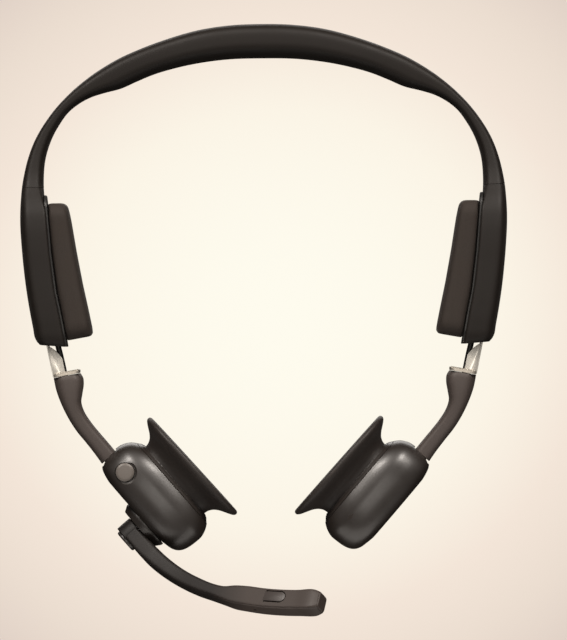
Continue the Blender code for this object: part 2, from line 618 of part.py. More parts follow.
def cut_first(kit, bm, cutters):
    """A shape with the cutters already taken away, so that what joins it later stays inside the hollow."""
    base = to_object("hollowed", bm, kit.cutters)
    for number, cutter in enumerate(cutters):
        helper = to_object(f"hollow_{number}", cutter, kit.cutters)
        modifier = base.modifiers.new(f"hollow_{number}", "BOOLEAN")
        modifier.operation = "DIFFERENCE"
        modifier.object = helper
    graph = bpy.context.evaluated_depsgraph_get()
    found = bmesh.new()
    found.from_mesh(base.evaluated_get(graph).to_mesh())
    for obj in [base] + [modifier.object for modifier in base.modifiers]:
        bpy.data.objects.remove(obj)
    bmesh.ops.scale(found, vec=(1 / MM, 1 / MM, 1 / MM), verts=found.verts)
    return found


# ======================================= buttons on the left pod =============================================
def main_button_place(a, b, c):
    """Axes about the main button's centre, c towards the front."""
    return pod_place(LEFT)(MAIN_BUTTON[0] + a, -c, MAIN_BUTTON[1] + b)


def make_main_button(kit):
    axis = kit.joint("main_button_axis", main_button_place(0, 0, 11))
    profile = [(0, 7.4), (3.3, 7.4), (3.3, 7.9), (MAIN_BUTTON_RADIUS, 7.9), (MAIN_BUTTON_RADIUS, 11.5), (2.3, 11.85),
               (0, 12.0)]
    kit.piece("main_button", turned(main_button_place, profile, 20), "button", axis)
    switch = block(main_button_place, (-1.6, 1.6), (-1.6, 1.6), (5.9, 6.7))
    kit.piece("main_switch", switch, "inner_plastic", "pod_left_axis")


def make_volume_buttons(kit):
    place = pod_place(LEFT)
    for name, t in zip(("volume_up", "volume_down"), VOLUME_T):
        axis = kit.joint(f"{name}_axis", place(t, 12, VOLUME_N))
        face = 12.75 if t < -5 else 13.15
        cap = block(place, (t - 2.6, t + 2.6), (9.3, face), (VOLUME_N - 1.3, VOLUME_N + 1.3))
        flange = block(place, (t - 3.1, t + 3.1), (9.2, 9.9), (VOLUME_N - 1.8, VOLUME_N + 1.8))
        kit.piece(f"{name}_button", cap, "button", axis, join=[flange])
        switch = block(place, (t - 1.5, t + 1.5), (7.6, 8.5), (VOLUME_N - 1.2, VOLUME_N + 1.2))
        kit.piece(f"{name}_switch", switch, "inner_plastic", "pod_left_axis")


# ======================================= boom ==================================================================
def boom_rings():
    place = boom_place()
    middle = np.array([(r, n) for r, n, _, _, _ in BOOM_STATIONS])
    ways = np.gradient(middle, axis=0)
    rings = []
    for (r, n, thick, wide, power), way in zip(BOOM_STATIONS, ways):
        way = way / np.linalg.norm(way)
        points = oval(thick / 2, wide / 2, power, 20)
        rings.append([place(r - a * way[1], b, n + a * way[0]) for a, b in points])
    return rings


def make_boom(kit):
    """The boom turns on an axle that is fixed through the base and the pod's shell."""
    centre = place_about_n(pod_place(LEFT), BOOM_T)
    axis = kit.joint("boom_axis", centre(0, 0, 12))
    bore = cylinder(centre, AXLE_RADIUS + GAP, 0, 20, 20)
    kit.piece("boom_base", turned(centre, BASE_PROFILE, 32), "pod_plastic", "pod_left_axis", cut=[bore])
    kit.piece("boom_axle", turned(centre, AXLE_PROFILE, 20), "spring_steel", "pod_left_axis")
    bore = cylinder(centre, AXLE_RADIUS + GAP, 0, 20, 20)
    washer = cylinder(centre, 2.8, *WASHER, 20)
    kit.piece("boom_washer", washer, "spring_steel", axis, cut=[bore])

    head = head_place()
    root = cylinder(centre, ROOT_RADIUS, ROOT_LOW, ROOT_HIGH, 28)
    x, m = MUTE_ALONG, 0.0
    cuts = [cylinder(centre, AXLE_RADIUS + GAP, 0, 20, 20), cylinder(centre, BORE_RADIUS, BORE_FLOOR, 20, 20),
            block(head, (0.9, 18.3), (-6, 1.9), (-2.1, 2.1)),
            block(head, (x - 4.0, x + 4.0), (0, 6), (m - 1.9, m + 1.9)),
            block(head, (MIC_ALONG - 0.5, MIC_ALONG + 0.5), (-0.35, 0.35), (1, 5))]
    kit.piece("boom_arm", loft(boom_rings()), "arm_plastic", axis, join=[root], cut=cuts)
    kit.piece("boom_cap", turned(centre, CAP_PROFILE, 28), "pod_plastic", axis)
    kit.piece("mic_cover", block(head, (1.2, 18.0), (-2.85, -2.1), (-1.8, 1.8)), "arm_plastic", axis)
    kit.piece("mic_board", block(head, (1.4, 17.6), (-1.5, -0.9), (-1.75, 1.75)), "board", axis)
    kit.piece("microphone", block(head, (1.5, 4.5), (-0.6, 1.2), (-0.9, 1.7)), "magnet", axis)
    kit.piece("mute_switch", block(head, (x - 1.6, x + 1.6), (-0.6, 0.4), (-1.2, 1.2)), "inner_plastic", axis)

    press = kit.joint("mute_axis", head(x, 3, m))
    cap = block(head, (x - 3.7, x + 3.7), (0.9, 3.3), (m - 1.6, m + 1.6))
    foot = block(head, (x - 4.4, x + 4.4), (0.85, 1.55), (m - 1.75, m + 1.75))
    kit.piece("mute_button", cap, "button", press, join=[foot])


def make_headset():
    kit = Kit()
    make_band(kit)
    make_electronics(kit)
    for tag, side in SIDES.items():
        make_temple(kit, tag, side)
        make_slider(kit, tag, side)
        make_pod(kit, tag, side)
    make_main_button(kit)
    make_volume_buttons(kit)
    make_boom(kit)


make_headset()
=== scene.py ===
"""Looks of an over-head bone conduction headset with a swinging microphone boom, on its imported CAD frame.

Metres, +Z up, the front faces -Y. Shapes are written in millimetres. A pair of pieces is drawn once on the
right, as (u, y, z) with u outward from the middle plane, and `side` places it: +1 right, -1 left.
"""

import json
import math

import bmesh
import bpy
import numpy as np
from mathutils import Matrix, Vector


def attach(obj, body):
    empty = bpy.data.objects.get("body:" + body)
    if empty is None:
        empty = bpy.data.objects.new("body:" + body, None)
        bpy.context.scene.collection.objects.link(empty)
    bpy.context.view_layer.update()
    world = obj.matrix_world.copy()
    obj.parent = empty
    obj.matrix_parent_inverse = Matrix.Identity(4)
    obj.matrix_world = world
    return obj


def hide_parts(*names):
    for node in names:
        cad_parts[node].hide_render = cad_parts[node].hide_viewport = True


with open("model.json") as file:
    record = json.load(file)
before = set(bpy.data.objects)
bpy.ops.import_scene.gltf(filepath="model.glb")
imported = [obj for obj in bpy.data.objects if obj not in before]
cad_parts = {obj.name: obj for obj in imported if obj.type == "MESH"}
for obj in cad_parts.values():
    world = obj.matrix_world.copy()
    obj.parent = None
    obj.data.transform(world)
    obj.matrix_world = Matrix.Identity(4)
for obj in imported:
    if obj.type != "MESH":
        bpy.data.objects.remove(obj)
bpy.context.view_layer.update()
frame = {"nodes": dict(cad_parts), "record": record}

MM = 0.001
RIGHT, LEFT = 1, -1
SIDES = {"left": LEFT, "right": RIGHT}
GAP = 0.3
NODE_BODY = {node: body for body, nodes in frame["record"]["behaviour"]["bodies"].items() for node in nodes}

# ======== shapes in millimetres, nearly all as in the CAD part ========
BAND_OUTER = [(0, 10.6), (10, 10.25), (20, 8.8), (30, 6.0), (38, 3.1), (45.15, -0.1), (50.75, -3.4),
              (54.8, -6.25), (58.35, -9.15), (61.3, -11.95), (64.25, -15.15), (67.0, -18.75), (69.5, -22.65),
              (71.45, -26.6), (73.0, -31), (74.1, -35.5), (74.8, -39.5), (75.15, -43.2)]
BAND_INNER = [(0, 0), (9.8, -0.2), (18.8, -1.2), (26.8, -2.8), (33.5, -4.7), (39.4, -7.1), (44.1, -9.15),
              (49.1, -10.4), (53.5, -11.8), (57.25, -13.85), (60.4, -16.45), (63.0, -20), (65.25, -24),
              (66.85, -28.25), (67.7, -32), (68.05, -36), (68.1, -39.8), (67.9, -43.2)]
BAND_HALF_WIDTH = [11, 11, 10.8, 10.4, 9.8, 9.1, 8.5, 8.0, 7.6, 7.3, 7.1, 7.0, 7.1, 7.4, 7.9, 8.7, 10.1, 12.2]
BAND_FOOT = -39.6
SEAM_ROUND = 0.12
HOUSE_OUTER = [(75.35, -46.5), (75.4, -51), (75.05, -57.5), (74.5, -64), (73.7, -71), (72.7, -77.5),
               (71.65, -83.2), (70.9, -86.7), (69.8, -88.3)]
HOUSE_Z_INNER = [-46.5, -51, -57.3, -63.6, -70.2, -76.4, -82.4, -87.2, -88.95]
HOUSE_HALF_WIDTH = [13.7, 14.6, 15.0, 15.0, 15.0, 14.9, 14.6, 13.9, 12.9]
SEAM = [(-41.5, 67.3), (-47, 66.8), (-60, 65.75), (-72, 64.25), (-80, 62.6), (-87, 61.35), (-90, 60.8)]
HOUSE_WALL = 1.1
HOUSE_EDGE = 0.42
PLATE_THICK = 0.75
SOCKET_CENTRE = (68.1, -78.5)
PLATE_TOP, PLATE_BOTTOM = -42.0, -88.9
PLATE_HALF_WIDTH, PLATE_CORNER = 13.2, 5
SCREW_Z, SCREW_RADIUS = -44.2, 0.8
CUSHION_INNER = [(-44.3, 60.9), (-50.1, 59.75), (-59.6, 58.2), (-69.6, 56.35), (-77.1, 54.75),
                 (-85.85, 52.95)]
CUSHION_TOP, CUSHION_BOTTOM = -44.35, -87.2
CUSHION_HALF_WIDTH = 13.4
CUSHION_CORNER = 5.0
CLOTH_SHRINK, CLOTH_LIMIT, CLOTH_VOXEL = 0.03, 0.15, 0.75
CLOTH_SCALE, CLOTH_FRAMES = 20.0, 16
CLOTH_SETTINGS = dict(quality=6, mass=0.3, tension_stiffness=15, compression_stiffness=15,
                      bending_stiffness=0.5, use_pressure=True, uniform_pressure_force=4.0)
SLOT_THICK, SLOT_HALF_WIDTH, SLOT_LOW = 1.6, 5.4, -50
SLIDER_EXIT = (67.2, -88.4)
SLIDER_SLANT = math.radians(11.5)
RAIL_TOP, RAIL_STEP, RAIL_BOTTOM = 23.6, -10.0, -15.5
RAIL_HALF_WIDTH, RAIL_THICK = 6.0, 0.8
RAIL_STEP_IN = 1.6
STOP_LENGTH, STOP_HALF_WIDTH = 1.3, 7.2
FLANGE_DEPTH, FLANGE_THICK = 3.6, 0.7
LEAD_ROUTE = [(18.7, 1.5), (9.0, 1.6), (4.0, 2.4), (1.0, 2.95), (-2.0, 3.1), (-5.0, 3.2), (-13.0, 3.2)]
LEAD_IN_ARM = [(60.75, -104.2), (59.4, -109.5), (56.2, -114.7), (50.8, -121.0)]
LEAD_RADIUS = 0.9
NOTCH_FIT = 0.06
ARM = [((65.5, -98.6), (57.15, -97.1), 6.9), ((65.35, -99.3), (56.45, -98.2), 7.2),
       ((64.9, -101.6), (56.15, -100.1), 7.3), ((63.8, -105.1), (56.6, -103.5), 7.1),
       ((62.35, -108.5), (56.95, -106.15), 6.7), ((60.65, -111.75), (56.1, -108.95), 6.2),
       ((58.35, -115.3), (54.05, -112.25), 5.7), ((55.6, -118.7), (51.55, -115.4), 5.3),
       ((53.0, -122.05), (49.05, -118.35), 5.0), ((50.7, -125.3), (46.45, -121.5), 4.8)]
COLLAR = [((64.85, -97.15), (57.55, -95.8), 6.9), ((65.4, -97.35), (57.3, -95.95), 7.1),
          ((65.5, -98.5), (57.2, -97.0), 7.15)]
POD_CENTRE = (34.45, -135.4)
POD_SLANT = math.radians(49.2)
POD_PROFILE = [(7.75, -13.0, 11.2, 8.2), (7.3, -15.2, 13.6, 9.6), (6.7, -16.9, 15.9, 10.6),
               (5.8, -18.0, 17.3, 11.5), (4.6, -18.5, 18.2, 12.2), (2.6, -18.85, 18.85, 12.8),
               (0, -19.0, 19.1, 13.0), (-2.4, -18.85, 19.1, 12.9), (-4.3, -18.1, 18.5, 12.4),
               (-5.7, -17.1, 17.7, 11.8), (-6.6, -16.1, 17.0, 11.3)]
COVER_PROFILE = [(-6.65, -15.9, 16.7, 11.1), (-7.3, -15.2, 16.0, 10.5), (-8.0, -14.2, 15.0, 9.7)]
POD_WALL = 1.3
POD_POWER = 3.0
PAD_PROFILE = [(-8.0, -13.4, 14.2, 9.0), (-9.0, -13.55, 14.3, 9.1), (-10.3, -14.2, 14.9, 9.7),
               (-11.5, -15.5, 16.1, 10.8), (-12.5, -17.2, 17.8, 12.3), (-13.3, -18.5, 19.4, 13.6),
               (-13.9, -19.2, 20.4, 14.3), (-14.6, -19.5, 20.95, 14.6), (-15.2, -19.3, 20.75, 14.4),
               (-15.5, -18.7, 20.15, 13.8)]
PAD_LEAN = (-0.165, -0.0215)
PIVOT_T, PIVOT_N = -14.6, 2.9
TONGUE_HALF_THICK, TONGUE_HALF_WIDTH = 1.7, 3.2
PIN_RADIUS, PIN_HALF_LENGTH = 0.7, 5.2
# the hinge's boss inside the pod and the recess for the arm's end: ranges along the pod, outwards and in y
PIVOT_BOSS = ((PIVOT_T - 2.9, PIVOT_T + 2.7), (PIVOT_N - 3.6, 5.2), (-5.3, 5.3))
ARM_RECESS = ((-23, -17.55), (-0.55, 9.5), (-5.15, 5.15))
BOOM_T = 4.65
BOOM_FORWARD = math.radians(40)
ROOT_RADIUS, ROOT_LOW, ROOT_HIGH = 4.7, 10.4, 15.45
AXLE_RADIUS = 1.6
BORE_RADIUS, BORE_FLOOR = 3.1, 12.5
BOOM_STATIONS = [(2.5, 12.9, 4.8, 9.3, 9), (10.6, 12.7, 5.5, 8.0, 6), (19.2, 11.7, 5.15, 6.7, 5),
                 (26.6, 10.05, 4.75, 6.0, 5), (33.4, 7.8, 4.45, 6.0, 5), (39.2, 5.3, 4.2, 6.0, 5),
                 (42.7, 3.5, 4.6, 6.0, 6), (45.8, 1.4, 6.0, 6.0, 8), (49.4, -1.15, 6.5, 6.0, 9),
                 (54.5, -4.6, 6.6, 6.0, 9), (59.1, -8.1, 6.6, 6.0, 9), (63.8, -12.1, 6.6, 6.0, 9),
                 (68.5, -16.5, 6.6, 6.0, 8), (70.0, -17.9, 5.2, 4.8, 6)]
HEAD_START, HEAD_END = (50.1, -1.65), (66.1, -14.25)
MAIN_BUTTON = (-11.6, 1.9)
MAIN_BUTTON_RADIUS = 2.9
VOLUME_T = (-8.2, -1.4)
VOLUME_N = 1.6
VOLUME_CAP, VOLUME_HOLE, VOLUME_FLANGE = (2.6, 1.3), (2.9, 1.6), (3.1, 1.8)
MUTE_ALONG = 10.2
MUTE_HALF_LENGTH = 3.7
GROOVE_RADIUS = 0.34
MIC_ALONG = 3.0


# ======== curves and rings ========
def flow(points, count, ease=0):
    """Rows of numbers joined by a smooth curve at even steps; ease is how often the steps are averaged."""
    points = np.array(points, float)
    measured = points[:, :4 if points.shape[1] > 3 else 2]
    steps = np.linalg.norm(np.diff(measured, axis=0), axis=1)
    at = np.concatenate(([0], np.cumsum(np.maximum(steps, 1e-6))))
    slopes = np.gradient(points, at, axis=0)
    where = np.linspace(0, at[-1], count)
    k = np.clip(np.searchsorted(at, where, side="right") - 1, 0, len(at) - 2)
    span = (at[k + 1] - at[k])[:, None]
    x = ((where - at[k])[:, None]) / span
    a, b = points[k], points[k + 1]
    ma, mb = slopes[k] * span, slopes[k + 1] * span
    found = ((2 * x**3 - 3 * x**2 + 1) * a + (x**3 - 2 * x**2 + x) * ma
             + (-2 * x**3 + 3 * x**2) * b + (x**3 - x**2) * mb)
    for _ in range(ease):
        found[1:-1] += 0.5 * (0.5 * (found[:-2] + found[2:]) - found[1:-1])
    return found


def oval(half_a, half_b, power, count, power_low=None):
    """Points round a superellipse; its low side may have its own power."""
    found = []
    for k in range(count):
        angle = 2 * math.pi * (k + 0.5) / count
        c, s = math.cos(angle), math.sin(angle)
        p = power if c > 0 or power_low is None else power_low
        found.append((half_a * math.copysign(abs(c) ** (2 / p), c),
                      half_b * math.copysign(abs(s) ** (2 / p), s)))
    return found


def box_ring(half_a, half_b, corner, steps):
    """Points round a rectangle with round corners."""
    found = []
    for quarter, (sa, sb) in enumerate(((1, 1), (-1, 1), (-1, -1), (1, -1))):
        for k in range(steps + 1):
            angle = math.pi / 2 * (quarter + k / steps)
            found.append((sa * (half_a - corner) + corner * math.cos(angle),
                          sb * (half_b - corner) + corner * math.sin(angle)))
    return found


def section(outer, inner, points, side):
    """A ring across the line from the outer to the inner edge; its second coordinate is y."""
    outer, inner = np.array(outer, float), np.array(inner, float)
    centre = (outer + inner) / 2
    along = (outer - inner) / np.linalg.norm(outer - inner)
    return np.array([(side * (centre[0] + a * along[0]), y, centre[1] + a * along[1]) for a, y in points])


def inset(ring, distance):
    """A ring moved inwards in its own plane."""
    ring = np.array(ring, float)
    centre = ring.mean(0)
    normal = np.cross(ring - centre, np.roll(ring, -1, 0) - centre).sum(0)
    normal /= np.linalg.norm(normal)
    ways = np.roll(ring, -1, 0) - np.roll(ring, 1, 0)
    out = np.cross(ways, normal)
    out /= np.linalg.norm(out, axis=1)[:, None]
    return ring - out * distance


def round_end(rings, radius, steps):
    """The last ring becomes a rounded edge that ends where the ring was."""
    rings = [np.array(r, float) for r in rings]
    last = rings[-1]
    way = last.mean(0) - rings[-2].mean(0)
    way /= np.linalg.norm(way)
    kept = rings[:-1]
    while len(kept) > 2 and np.dot(last.mean(0) - kept[-1].mean(0), way) < radius * 1.1:
        kept.pop()
    for k in range(steps + 1):
        angle = math.pi / 2 * k / steps
        kept.append(inset(last, radius * (1 - math.cos(angle))) - way * radius * (1 - math.sin(angle)))
    return kept


def rounded(rings, first, last, steps=4):
    """Rings with both ends rounded; a radius of 0 leaves an end sharp."""
    if last:
        rings = round_end(rings, last, steps)
    if first:
        rings = round_end(list(rings)[::-1], first, steps)[::-1]
    return rings


def bridge(bm, rings):
    """Faces between rings of corners that follow each other; a ring may be one corner repeated."""
    for low, high in zip(rings, rings[1:]):
        for k in range(len(low)):
            after = (k + 1) % len(low)
            bm.faces.new(list(dict.fromkeys((low[k], low[after], high[after], high[k]))))


def shell_of(rings, caps=(0.8, 0.5, 0.2), dome=(0.0, 0.0)):
    """A closed mesh over rings; its ends are filled with smaller and smaller rings."""
    rings = [np.array(r, float) for r in rings]
    for end in (0, 1):
        last, before = (rings[0], rings[1]) if end == 0 else (rings[-1], rings[-2])
        centre = last.mean(0)
        way = centre - before.mean(0)
        size = np.linalg.norm(way)
        way = way / size if size > 1e-9 else way
        more = [centre + (last - centre) * share + way * dome[end] * (1 - share**2) for share in caps]
        rings = more[::-1] + rings if end == 0 else rings + more
    bm = bmesh.new()
    rows = [[bm.verts.new(p) for p in ring] for ring in rings]
    bridge(bm, rows)
    for row in (rows[0], rows[-1]):
        middle = bm.verts.new(np.mean([v.co[:] for v in row], axis=0))
        bridge(bm, [row, [middle] * len(row)])
    return bm


def block(place, a, b, c, edge=0.0):
    """A box given by its ranges along the three axes of place, with its edges rounded."""
    bm = bmesh.new()
    corners = {(i, j, k): bm.verts.new(place(a[i], b[j], c[k])) for i, j, k in np.ndindex(2, 2, 2)}
    for axis in range(3):
        for end in (0, 1):
            bm.faces.new([corners[tuple(np.insert(w, axis, end))] for w in ((0, 0), (1, 0), (1, 1), (0, 1))])
    bmesh.ops.recalc_face_normals(bm, faces=bm.faces)
    if edge:
        bmesh.ops.bevel(bm, geom=bm.edges, offset=edge, segments=3, profile=0.5, affect="EDGES")
    return bm


def prism(outline, place, low, high):
    """A flat outline (a, b) pulled from low to high along the third axis of place."""
    bm = bmesh.new()
    rows = [[bm.verts.new(place(a, b, c)) for a, b in outline] for c in (low, high)]
    bridge(bm, rows)
    for row in rows:
        bm.faces.new(row)
    return bm


def cylinder(place, radius, low, high, count, centre=(0, 0)):
    outline = [(centre[0] + x, centre[1] + y) for x, y in oval(radius, radius, 2, count)]
    return prism(outline, place, low, high)


def turned(place, profile):
    """A profile (radius, height) turned round the third axis of place; it starts and ends on the axis."""
    count = 72
    bm = bmesh.new()
    rings = []
    for radius, height in profile:
        if radius == 0:
            rings.append([bm.verts.new(place(0, 0, height))] * count)
        else:
            rings.append([bm.verts.new(place(x, y, height)) for x, y in oval(radius, radius, 2, count)])
    bridge(bm, rings)
    return bm


def soft_profile(corners, radius):
    """A profile whose inner corners are rounded; the two ends stay."""
    steps = 5
    found = [corners[0]]
    for before, at, after in zip(corners, corners[1:], corners[2:]):
        before, at, after = (np.array(p, float) for p in (before, at, after))
        reach_in = min(radius, np.linalg.norm(at - before) * 0.45)
        reach_out = min(radius, np.linalg.norm(after - at) * 0.45)
        start = at + (before - at) / np.linalg.norm(before - at) * reach_in
        end = at + (after - at) / np.linalg.norm(after - at) * reach_out
        for k in range(steps + 1):
            x = k / steps
            found.append(tuple((1 - x) ** 2 * start + 2 * x * (1 - x) * at + x**2 * end))
    found.append(corners[-1])
    return found


# ======== places ========
def seam(z):
    heights, outs = zip(*sorted(SEAM))
    return float(np.interp(z, heights, outs))


def slider_place(side):
    """Axes of a slider: s up the rail, b inwards from the rail's middle, y."""
    c, s = math.cos(SLIDER_SLANT), math.sin(SLIDER_SLANT)
    return lambda a, b, y: (side * (SLIDER_EXIT[0] + a * s - b * c), y, SLIDER_EXIT[1] + a * c + b * s)


def pod_place(side):
    """Axes of a pod: t along it, y, n outwards."""
    c, s = math.cos(POD_SLANT), math.sin(POD_SLANT)
    return lambda t, y, n: (side * (POD_CENTRE[0] - t * c + n * s), y, POD_CENTRE[1] - t * s - n * c)


def boom_place():
    """Axes of the boom: r outwards from its pivot, b across towards the front, n as the pod's."""
    pod = pod_place(LEFT)
    c, s = math.cos(BOOM_FORWARD), math.sin(BOOM_FORWARD)
    return lambda r, b, n: pod(BOOM_T + r * c - b * s, -r * s - b * c, n)


def head_place():
    """Axes of the microphone head: x along it, b towards the front, m outwards."""
    boom = boom_place()
    start, end = np.array(HEAD_START), np.array(HEAD_END)
    along = (end - start) / np.linalg.norm(end - start)
    across = np.array((-along[1], along[0]))

    def place(x, b, m):
        r, n = start + x * along + m * across
        return boom(r, b, n)

    return place


def swapped(place):
    return lambda a, b, c: place(a, c, b)


def about_n(place, t):
    return lambda a, b, c: place(t + a, b, c)


def main_button_place(a, b, c):
    """Axes about the main button's centre, c towards the front."""
    return pod_place(LEFT)(MAIN_BUTTON[0] + a, -c, MAIN_BUTTON[1] + b)


def socket_place(a, b, c):
    return (LEFT * (SOCKET_CENTRE[0] + b), c, SOCKET_CENTRE[1] + a)


# ======== pieces ========
def to_object(name, bm):
    bmesh.ops.remove_doubles(bm, verts=bm.verts, dist=1e-5)
    bmesh.ops.recalc_face_normals(bm, faces=bm.faces)
    bmesh.ops.scale(bm, vec=(MM, MM, MM), verts=bm.verts)
    mesh = bpy.data.meshes.new(name)
    bm.to_mesh(mesh)
    bm.free()
    obj = bpy.data.objects.new(name, mesh)
    bpy.context.scene.collection.objects.link(obj)
    return obj


def settle(obj):
    """The object's modifiers become part of its mesh."""
    graph = bpy.context.evaluated_depsgraph_get()
    graph.update()
    mesh = bpy.data.meshes.new_from_object(obj.evaluated_get(graph))
    obj.modifiers.clear()
    old = obj.data
    obj.data = mesh
    bpy.data.meshes.remove(old)
    mesh.name = obj.name


def modify(obj, kind, **values):
    """A modifier's work becomes part of the object's mesh."""
    modifier = obj.modifiers.new(kind.lower(), kind)
    for key, value in values.items():
        setattr(modifier, key, value)
    settle(obj)


def combine(obj, shapes, operation):
    """Shapes joined to a piece, or taken away from it."""
    helpers = []
    for number, bm in enumerate(shapes):
        helper = to_object(f"{obj.name}_helper_{number}", bm)
        helpers.append(helper)
        modifier = obj.modifiers.new(f"m{number}", "BOOLEAN")
        modifier.operation = operation
        modifier.solver = "EXACT"
        modifier.object = helper
    if helpers:
        settle(obj)
    for helper in helpers:
        mesh = helper.data
        bpy.data.objects.remove(helper)
        bpy.data.meshes.remove(mesh)


def piece(node, bm, look, join=(), cut=(), edge=0.0):
    """The visible piece for a CAD node, on its body, in the material of its look."""
    obj = to_object(f"{node}_look", bm)
    combine(obj, join, "UNION")
    combine(obj, cut, "DIFFERENCE")
    if edge:
        modify(obj, "BEVEL", width=edge * MM, segments=2, limit_method="ANGLE", angle_limit=math.radians(50))
    finish_piece(obj, node, look)
    return obj


def finish_piece(obj, node, look, angle=32):
    obj.data.shade_smooth()
    obj.data.set_sharp_from_angle(angle=math.radians(angle))
    obj.data.materials.clear()
    obj.data.materials.append(M[look])
    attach(obj, NODE_BODY[node])
    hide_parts(node)


# ======== materials ========
class Nodes:
    """A node tree, written down briefly."""

    def __init__(self, tree):
        self.tree = tree

    def set(self, socket, value):
        if isinstance(value, bpy.types.NodeSocket):
            self.tree.links.new(value, socket)
        else:
            socket.default_value = value

    def node(self, kind, **inputs):
        made = self.tree.nodes.new(kind)
        for key, value in inputs.items():
            self.set(made.inputs[key.replace("_", " ")], value)
        return made

    def spread(self, value, low, high, start=0.0, end=1.0):
        """The range from start to end, stretched to the one from low to high."""
        made = self.node("ShaderNodeMapRange", Value=value, From_Min=start, From_Max=end,
                         To_Min=low, To_Max=high)
        return made.outputs["Result"]

    def math(self, operation, a, b):
        made = self.tree.nodes.new("ShaderNodeMath")
        made.operation = operation
        self.set(made.inputs[0], a)
        self.set(made.inputs[1], b)
        return made.outputs[0]

    def mix(self, share, a, b, blend="MIX"):
        made = self.tree.nodes.new("ShaderNodeMix")
        made.data_type = "RGBA"
        made.blend_type = blend
        self.set(made.inputs[0], share)
        self.set(made.inputs[6], a)
        self.set(made.inputs[7], b)
        return made.outputs[2]

    def mix_shaders(self, share, first, second):
        made = self.tree.nodes.new("ShaderNodeMixShader")
        for socket, value in zip(made.inputs, (share, first, second)):
            self.set(socket, value)
        return made.outputs[0]


class Material(Nodes):
    """A material's tree with its shader, and textures measured in millimetres."""

    def __init__(self, name):
        self.material = bpy.data.materials.new(name)
        self.material.use_nodes = True
        super().__init__(self.material.node_tree)
        self.shader = self.tree.nodes["Principled BSDF"]
        self.coordinates = self.node("ShaderNodeTexCoord").outputs["Object"]

    def dress(self, **values):
        """Values of the shader's own sockets."""
        for key, value in values.items():
            self.set(self.shader.inputs[key.replace("_", " ")], value)

    def stretched(self, scale):
        return self.node("ShaderNodeMapping", Vector=self.coordinates, Scale=scale).outputs["Vector"]

    def noise(self, size_mm, detail, roughness=0.5, distortion=0.0):
        made = self.node("ShaderNodeTexNoise", Vector=self.coordinates, Scale=1000.0 / size_mm,
                         Detail=detail, Roughness=roughness, Distortion=distortion)
        return made.outputs["Fac"]

    def cells(self, size_mm, feature):
        made = self.node("ShaderNodeTexVoronoi", Vector=self.coordinates, Scale=1000.0 / size_mm)
        made.feature = feature
        return made.outputs["Distance"]

    def edges(self):
        """1 on convex edges."""
        return self.spread(self.node("ShaderNodeNewGeometry").outputs["Pointiness"], 0.0, 1.0, 0.52, 0.60)

    def bump(self, height, strength, distance_mm):
        made = self.node("ShaderNodeBump", Height=height, Strength=strength, Distance=distance_mm * MM)
        return made.outputs["Normal"]


def tone(colour, factor):
    return (*(min(c * factor, 1.0) for c in colour), 1.0)


def moulded(name, colour, rough, grain_mm, grain, uneven, edge_share, sheen=0.0, coat=0.0, specular=0.5, fade=None):
    """Moulded plastic or rubber: fine spark grain, slight patches of tone and gloss, and polished edges.

    fade is (start, end, factor): painted light, the tone grows by the factor from start to end along X.
    """
    n = Material(name)
    fine = n.noise(grain_mm, 3.0, 0.6)
    specks = n.noise(grain_mm * 2.7, 2.0, 0.55)
    patches = n.noise(9.0, 3.0, 0.55, distortion=0.3)
    edges = n.edges()
    base = n.mix(n.spread(fine, 0.0, 1.0, 0.3, 0.7), tone(colour, 1 - uneven), tone(colour, 1 + uneven))
    base = n.mix(n.spread(patches, 0.0, 0.45, 0.35, 0.75), base, tone(colour, 1 + uneven * 0.8))
    base = n.mix(n.math("MULTIPLY", edges, edge_share), base, tone(colour, 1.9))
    if fade:
        # painted light: a tone that grows along X, for a part that catches more light at one end
        start, end, factor = fade
        across = n.node("ShaderNodeSeparateXYZ", Vector=n.coordinates).outputs["X"]
        painted_light_tone = n.mix(1.0, base, (factor,) * 3 + (1,), "MULTIPLY")
        base = n.mix(n.spread(across, 0.0, 1.0, start, end), base, painted_light_tone)
    gloss = n.spread(patches, rough - 0.04, rough + 0.05, 0.3, 0.7)
    gloss = n.math("ADD", gloss, n.spread(specks, -0.03, 0.03))
    gloss = n.math("SUBTRACT", gloss, n.math("MULTIPLY", edges, 0.10))
    height = n.math("ADD", n.math("MULTIPLY", fine, 0.6), n.math("MULTIPLY", specks, 0.4))
    n.dress(Base_Color=base, Roughness=gloss, Normal=n.bump(height, grain, 0.03), Specular_IOR_Level=specular,
            Sheen_Weight=sheen, Sheen_Roughness=0.5, Sheen_Tint=(1.0, 0.96, 0.92, 1),
            Coat_Weight=coat, Coat_Roughness=0.25)
    return n.material


def metal(name, colour, rough, along, grain=0.25, edge_share=0.3, metallic=1.0, edge_tone=1.15):
    """Brushed or drawn metal, whose lines run along the axis with the smallest scale; its edges take the edge
    tone, rubbed wear above 1 and painted shade below 1.
    """
    n = Material(name)
    drawn = n.stretched(along)
    lines = n.node("ShaderNodeTexNoise", Vector=drawn, Scale=1.0, Detail=4.0, Roughness=0.6).outputs["Fac"]
    patches = n.noise(6.0, 3.0)
    edges = n.edges()
    base = n.mix(n.spread(lines, 0.0, 1.0, 0.3, 0.7), tone(colour, 0.88), tone(colour, 1.05))
    base = n.mix(n.spread(patches, 0.0, 0.3, 0.4, 0.7), base, tone(colour, 0.85))
    base = n.mix(n.math("MULTIPLY", edges, edge_share), base, tone(colour, edge_tone))
    gloss = n.spread(lines, rough - 0.06, rough + 0.07, 0.3, 0.7)
    gloss = n.math("ADD", gloss, n.spread(patches, -0.03, 0.04))
    n.dress(Base_Color=base, Metallic=metallic, Roughness=gloss, Normal=n.bump(lines, grain, 0.01))
    return n.material


